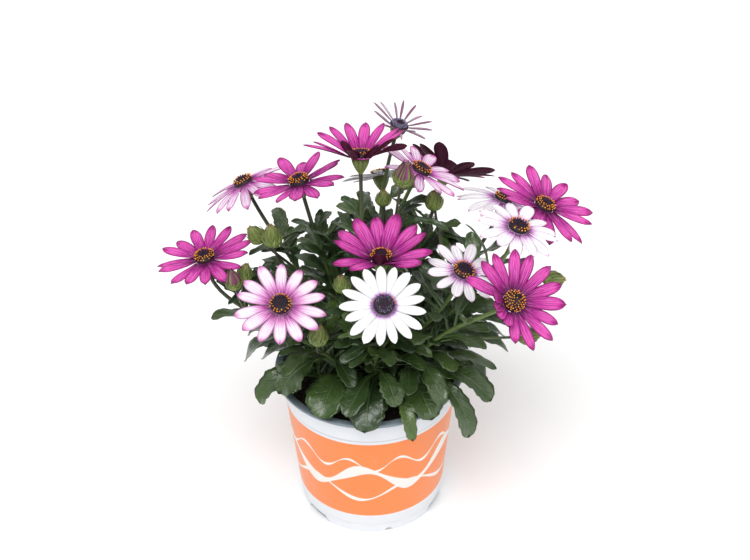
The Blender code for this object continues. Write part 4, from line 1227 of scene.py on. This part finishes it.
def disc_net():
    net = Net("tube_florets")
    own, _ = net.layer("tone")
    dark = net.mix(net.step(0.05, 0.4, own), (0.010, 0.003, 0.012), (0.060, 0.016, 0.060))
    dark = net.mix(net.step(0.38, 0.42, own), dark, (0.10, 0.075, 0.16))
    dark = net.mix(net.step(0.44, 0.50, own), dark, (0.24, 0.21, 0.33))
    pollen = net.mix(net.step(0.7, 1.0, own), (0.70, 0.19, 0.010), (0.95, 0.42, 0.030))
    grain = net.noise(2200.0, 2.0)
    colour = net.mix(net.math("GREATER_THAN", own, 0.6), dark, pollen)
    colour = net.coats(colour, ((0.30, 0.14, 0.16), net.step(0.5, 0.8, grain), 0.25))
    net.set(Base_Color=colour, Roughness=net.scaled(grain, 0.25, 0.45))
    net.bump(grain, 0.5, 0.0003)
    return net.material


def tip_net():
    net = Net("bud_petal_tips")
    own, along = net.layer("tone")
    opening = net.mix(net.step(0.0, 0.5, own), (0.10, 0.018, 0.055), (0.24, 0.06, 0.14))
    closed = net.mix(along, (0.28, 0.30, 0.08), (0.30, 0.17, 0.06))
    colour = net.mix(net.step(0.49, 0.51, own), opening, closed)
    net.set(Base_Color=colour, Roughness=net.scaled(net.noise(500.0), 0.2, 0.4))
    return net.material


BAND = (16.4, 82.1)  # lower and upper edge of the print on the pot
# lower and upper height of a grey line painted as shade in the step under the shoulder
GROOVE_SHADE_HEIGHTS = (84.0, 86.3)
# Waves of the print: middle height, swing, number round the pot, shift and half thickness
WAVES = ((50.0, 9.0, 5.0, 0.6, 3.2), (38.0, 6.5, 5.0, 1.15, 1.1), (63.0, 5.0, 10.0, 0.2, 0.8))


def pot_net():
    net = Net("printed_pot")
    region, _ = net.layer("tone")
    x, y, z = net.split(net.place())
    height = net.times(z, 1 / MM)
    bearing = net.math("ARCTAN2", y, x)
    wander = net.noise(28.0, 2.0)
    fray = net.scaled(wander, 1.6, -0.8)
    design = 0.0
    for middle, swing, number, shift, thick in WAVES:
        wave = net.math("SINE", net.scaled(bearing, number, shift * 6.0))
        swell = net.math("SINE", net.scaled(bearing, 2 * number, shift))
        off = net.math("ABSOLUTE", net.minus(height, net.scaled(wave, swing, middle)))
        beyond = net.minus(net.math("ADD", off, fray), net.scaled(swell, thick * 0.45, thick))
        design = net.math("MAXIMUM", design, net.step(0.35, -0.35, beyond))
    orange = net.coats((0.93, 0.235, 0.050), ((1.0, 0.30, 0.085), wander, 0.4))
    printed = net.mix(design, orange, (0.90, 0.86, 0.82))
    low, high = (net.step(edge - 0.25, edge + 0.25, height) for edge in BAND)
    bottom, top = GROOVE_SHADE_HEIGHTS
    # painted shade: a grey line where the step under the shoulder would hold shadow
    painted_groove_shade = net.times(net.step(bottom, bottom + 0.7, height), net.step(top, top - 0.6, height))
    scuff = net.noise(160.0, 5.0)
    outside = net.coats(
        (0.80, 0.83, 0.87),
        ((0.70, 0.74, 0.80), wander, 0.35),
        ((0.34, 0.37, 0.41), painted_groove_shade, 0.40),
        (printed, low, net.minus(1.0, high)),
        ((0.45, 0.47, 0.50), net.step(0.62, 0.82, scuff), 0.18),
    )
    inner = net.mix(scuff, (0.17, 0.21, 0.25), (0.27, 0.32, 0.37))
    net.set(Base_Color=net.mix(net.math("GREATER_THAN", region, 0.5), outside, inner))
    net.set(Roughness=net.scaled(scuff, 0.25, 0.22), Coat_Weight=0.08)
    net.bump(net.noise(140.0, 2.0), 0.12, 0.0006)
    return net.material


def soil_net():
    net = Net("compost")
    own, _ = net.layer("tone")
    grain = net.noise(700.0, 5.0)
    colour = net.mix(grain, (0.008, 0.005, 0.004), (0.050, 0.032, 0.020))
    colour = net.coats(colour, ((0.045, 0.028, 0.018), own, 0.5))
    net.set(Base_Color=colour, Roughness=net.scaled(grain, 0.2, 0.78))
    net.bump(grain, 1.0, 0.0015)
    return net.material


leaf_material = leaf_net()
stem_material = stem_net()
bract_material = bract_net()
tip_material = tip_net()
disc_material = disc_net()
pot_material = pot_net()
soil_material = soil_net()
petal_materials = {
    "pink": petal_net(
        "pink_petal",
        stops=(
            (0.0, (0.030, 0.003, 0.030)), (0.08, (0.080, 0.004, 0.060)), (0.20, (0.27, 0.010, 0.17)),
            (0.38, (0.54, 0.035, 0.34)), (0.60, (0.76, 0.095, 0.48)), (0.80, (0.76, 0.090, 0.46)),
            (0.89, (0.46, 0.020, 0.26)), (1.0, (0.18, 0.006, 0.09)),
        ),
        # painted shade: a dark edge that stands for the shadow between overlapping petals
        edge_tint_and_shade=((0.34, 0.010, 0.19), 0.90),
        streak=((0.26, 0.008, 0.16), 0.65),
        speckle=(0.88, 0.30, 0.68),
        under=((0.060, 0.008, 0.026), (0.10, 0.014, 0.045)),
    ),
    "blush": petal_net(
        "blush_petal",
        stops=(
            (0.0, (0.05, 0.003, 0.05)), (0.07, (0.16, 0.008, 0.12)), (0.18, (0.50, 0.050, 0.36)),
            (0.32, (0.82, 0.40, 0.72)), (0.48, (0.97, 0.87, 0.96)), (0.80, (0.97, 0.90, 0.96)),
            (0.89, (0.84, 0.46, 0.74)), (1.0, (0.32, 0.020, 0.19)),
        ),
        edge_tint_and_shade=((0.58, 0.14, 0.45), 0.70),
        streak=((0.66, 0.22, 0.54), 0.45),
        speckle=(0.98, 0.94, 0.98),
        under=((0.62, 0.44, 0.58), (0.30, 0.12, 0.24)),
    ),
    "blush_edged": petal_net(
        "blush_edged_petal",
        stops=(
            (0.0, (0.08, 0.004, 0.08)), (0.08, (0.34, 0.025, 0.26)), (0.22, (0.66, 0.20, 0.56)),
            (0.42, (0.90, 0.68, 0.87)), (0.80, (0.94, 0.80, 0.92)), (0.90, (0.70, 0.24, 0.58)),
            (1.0, (0.34, 0.02, 0.19)),
        ),
        edge_tint_and_shade=((0.56, 0.11, 0.42), 0.90),
        streak=((0.42, 0.07, 0.34), 0.75),
        speckle=(0.95, 0.86, 0.95),
        under=((0.40, 0.22, 0.35), (0.16, 0.04, 0.11)),
    ),
    "white": petal_net(
        "white_petal",
        stops=(
            (0.0, (0.10, 0.004, 0.12)), (0.035, (0.26, 0.014, 0.30)), (0.075, (0.52, 0.16, 0.62)),
            (0.12, (0.88, 0.80, 0.93)), (0.18, (0.97, 0.96, 0.97)), (1.0, (0.98, 0.98, 0.98)),
        ),
        # painted shade: a grey edge that stands for the shadow between overlapping petals
        edge_tint_and_shade=((0.86, 0.85, 0.89), 0.45),
        streak=((0.82, 0.81, 0.87), 0.45),
        speckle=(0.99, 0.99, 0.99),
        under=((0.96, 0.94, 0.98), (0.84, 0.79, 0.89)),
    ),
    "white_flushed": petal_net(
        "white_flushed_petal",
        stops=(
            (0.0, (0.05, 0.004, 0.06)), (0.07, (0.20, 0.012, 0.20)), (0.15, (0.56, 0.18, 0.55)),
            (0.27, (0.88, 0.70, 0.89)), (0.40, (0.97, 0.95, 0.97)), (0.92, (0.96, 0.92, 0.95)),
            (1.0, (0.66, 0.28, 0.55)),
        ),
        edge_tint_and_shade=((0.84, 0.66, 0.82), 0.45),
        streak=((0.70, 0.42, 0.70), 0.35),
        speckle=(0.98, 0.96, 0.98),
        under=((0.60, 0.50, 0.60), (0.30, 0.16, 0.28)),
    ),
    "faded": petal_net(
        "faded_petal",
        stops=(
            (0.0, (0.20, 0.14, 0.20)), (0.30, (0.62, 0.52, 0.62)), (0.75, (0.70, 0.58, 0.69)),
            (1.0, (0.26, 0.09, 0.18)),
        ),
        edge_tint_and_shade=((0.40, 0.20, 0.32), 0.50),
        streak=((0.26, 0.09, 0.18), 0.50),
        speckle=(0.84, 0.78, 0.84),
        under=((0.50, 0.36, 0.46), (0.20, 0.07, 0.14)),
    ),
}
PETAL_LOOKS = {
    "back_left": "blush_edged", "upper_middle": "blush_edged",
    "right_white": "white_flushed", "front_right_white": "white_flushed", "back_right": "white_flushed",
}

# The plant

BARE_FROM = {"front_right_white": 0.30, "front_right": 0.30}  # share of a stem from which it shows bare
USUALLY_BARE_FROM = 0.55
NECK_RADIUS, SHOOT_TIP_RADIUS = 1.15, 1.2
LEAFY_TO = 0.84  # share of a stem up to which extra leaves grow
EXTRA_ON_STEM, EXTRA_ON_SHOOT = 26, 9

BOX_LOW, BOX_HIGH = (np.array(corner) / MM for corner in cad_box)
crowded = tree_of(("rays_", "disc_", "pot"))
blooms_tree = tree_of(("rays_", "disc_"))
stems = {bloom.name: bloom_path(bloom) for bloom in BLOOMS}
shoots = {shoot.name: shoot_path(shoot) for shoot in SHOOTS}
bare_points = []
for name, path in stems.items():
    for share in np.linspace(BARE_FROM.get(name, USUALLY_BARE_FROM), 0.95, 24):
        bare_points.append(on_path(path, share)[0])
bare_stems = from_camera(bare_points)
wanted = {name: [] for name in [*stems, *shoots]}
for name, leaf in all_leaves(stems, shoots):
    wanted[name].append(leaf)
for bloom in BLOOMS:
    path = stems[bloom.name]
    extra = extra_leaves(bloom.name, path, LEAFY_TO, EXTRA_ON_STEM)
    make_stem(bloom.name, path, wanted[bloom.name], NECK_RADIUS, extra, bloom)
    make_rays(bloom)
    make_disc(bloom)
for name, path in shoots.items():
    make_stem(name, path, wanted[name], SHOOT_TIP_RADIUS, extra_leaves(name, path, 1.0, EXTRA_ON_SHOOT))
make_pot()
make_compost()

# Camera, floor and light

IMAGE_WIDTH = 750.0
FOCAL = 1500.0  # in pixels of that width
SENSOR = 36.0
FLOOR_HALF = 6.0

camera_data = bpy.data.cameras.new("camera")
camera_data.sensor_width = SENSOR
camera_data.lens = FOCAL * SENSOR / IMAGE_WIDTH
camera_data.clip_start = 0.01
camera = bpy.data.objects.new("camera", camera_data)
bpy.context.scene.collection.objects.link(camera)
camera.matrix_world = (
    Matrix.Translation(Vector(CAMERA) * MM)
    @ Matrix.Rotation(math.pi / 2 - PITCH, 4, "X")
    @ Matrix.Rotation(ROLL, 4, "Z")
)
bpy.context.scene.camera = camera

floor_mesh = bpy.data.meshes.new("floor")
floor_corners = [(x * FLOOR_HALF, y * FLOOR_HALF, 0) for x, y in ((-1, -1), (1, -1), (1, 1), (-1, 1))]
floor_mesh.from_pydata(floor_corners, [], [(0, 1, 2, 3)])
floor = bpy.data.objects.new("floor", floor_mesh)
bpy.context.scene.collection.objects.link(floor)
floor_net = Net("pale_floor")
pale = floor_net.mix(floor_net.noise(3.0), (0.90, 0.90, 0.90), (0.93, 0.93, 0.93))
floor_net.set(Base_Color=pale, Roughness=0.9, Specular_IOR_Level=0.1)
floor_net.set(Emission_Color=(1.0, 1.0, 1.0), Emission_Strength=0.04)
floor_mesh.materials.append(floor_net.material)

world = bpy.data.worlds.new("studio")
bpy.context.scene.world = world
world.use_nodes = True
sky = world.node_tree.nodes["Background"]
sky.inputs["Color"].default_value = (1.0, 1.0, 1.0, 1.0)
sky.inputs["Strength"].default_value = 0.42
bpy.context.scene.view_settings.view_transform = "Standard"


def lamp(name, bearing, rise, spread, strength):
    """Even soft light from a bearing and a height above the floor, in degrees."""
    data = bpy.data.lights.new(name, "SUN")
    data.angle = math.radians(spread)
    data.energy = strength
    obj = bpy.data.objects.new(name, data)
    bpy.context.scene.collection.objects.link(obj)
    obj.rotation_euler = Vector(-heading(rise, bearing)).to_track_quat("-Z", "Y").to_euler()


lamp("key", bearing=250, rise=60, spread=40, strength=2.05)
lamp("fill", bearing=318, rise=48, spread=55, strength=0.62)
lamp("back", bearing=80, rise=50, spread=60, strength=0.60)
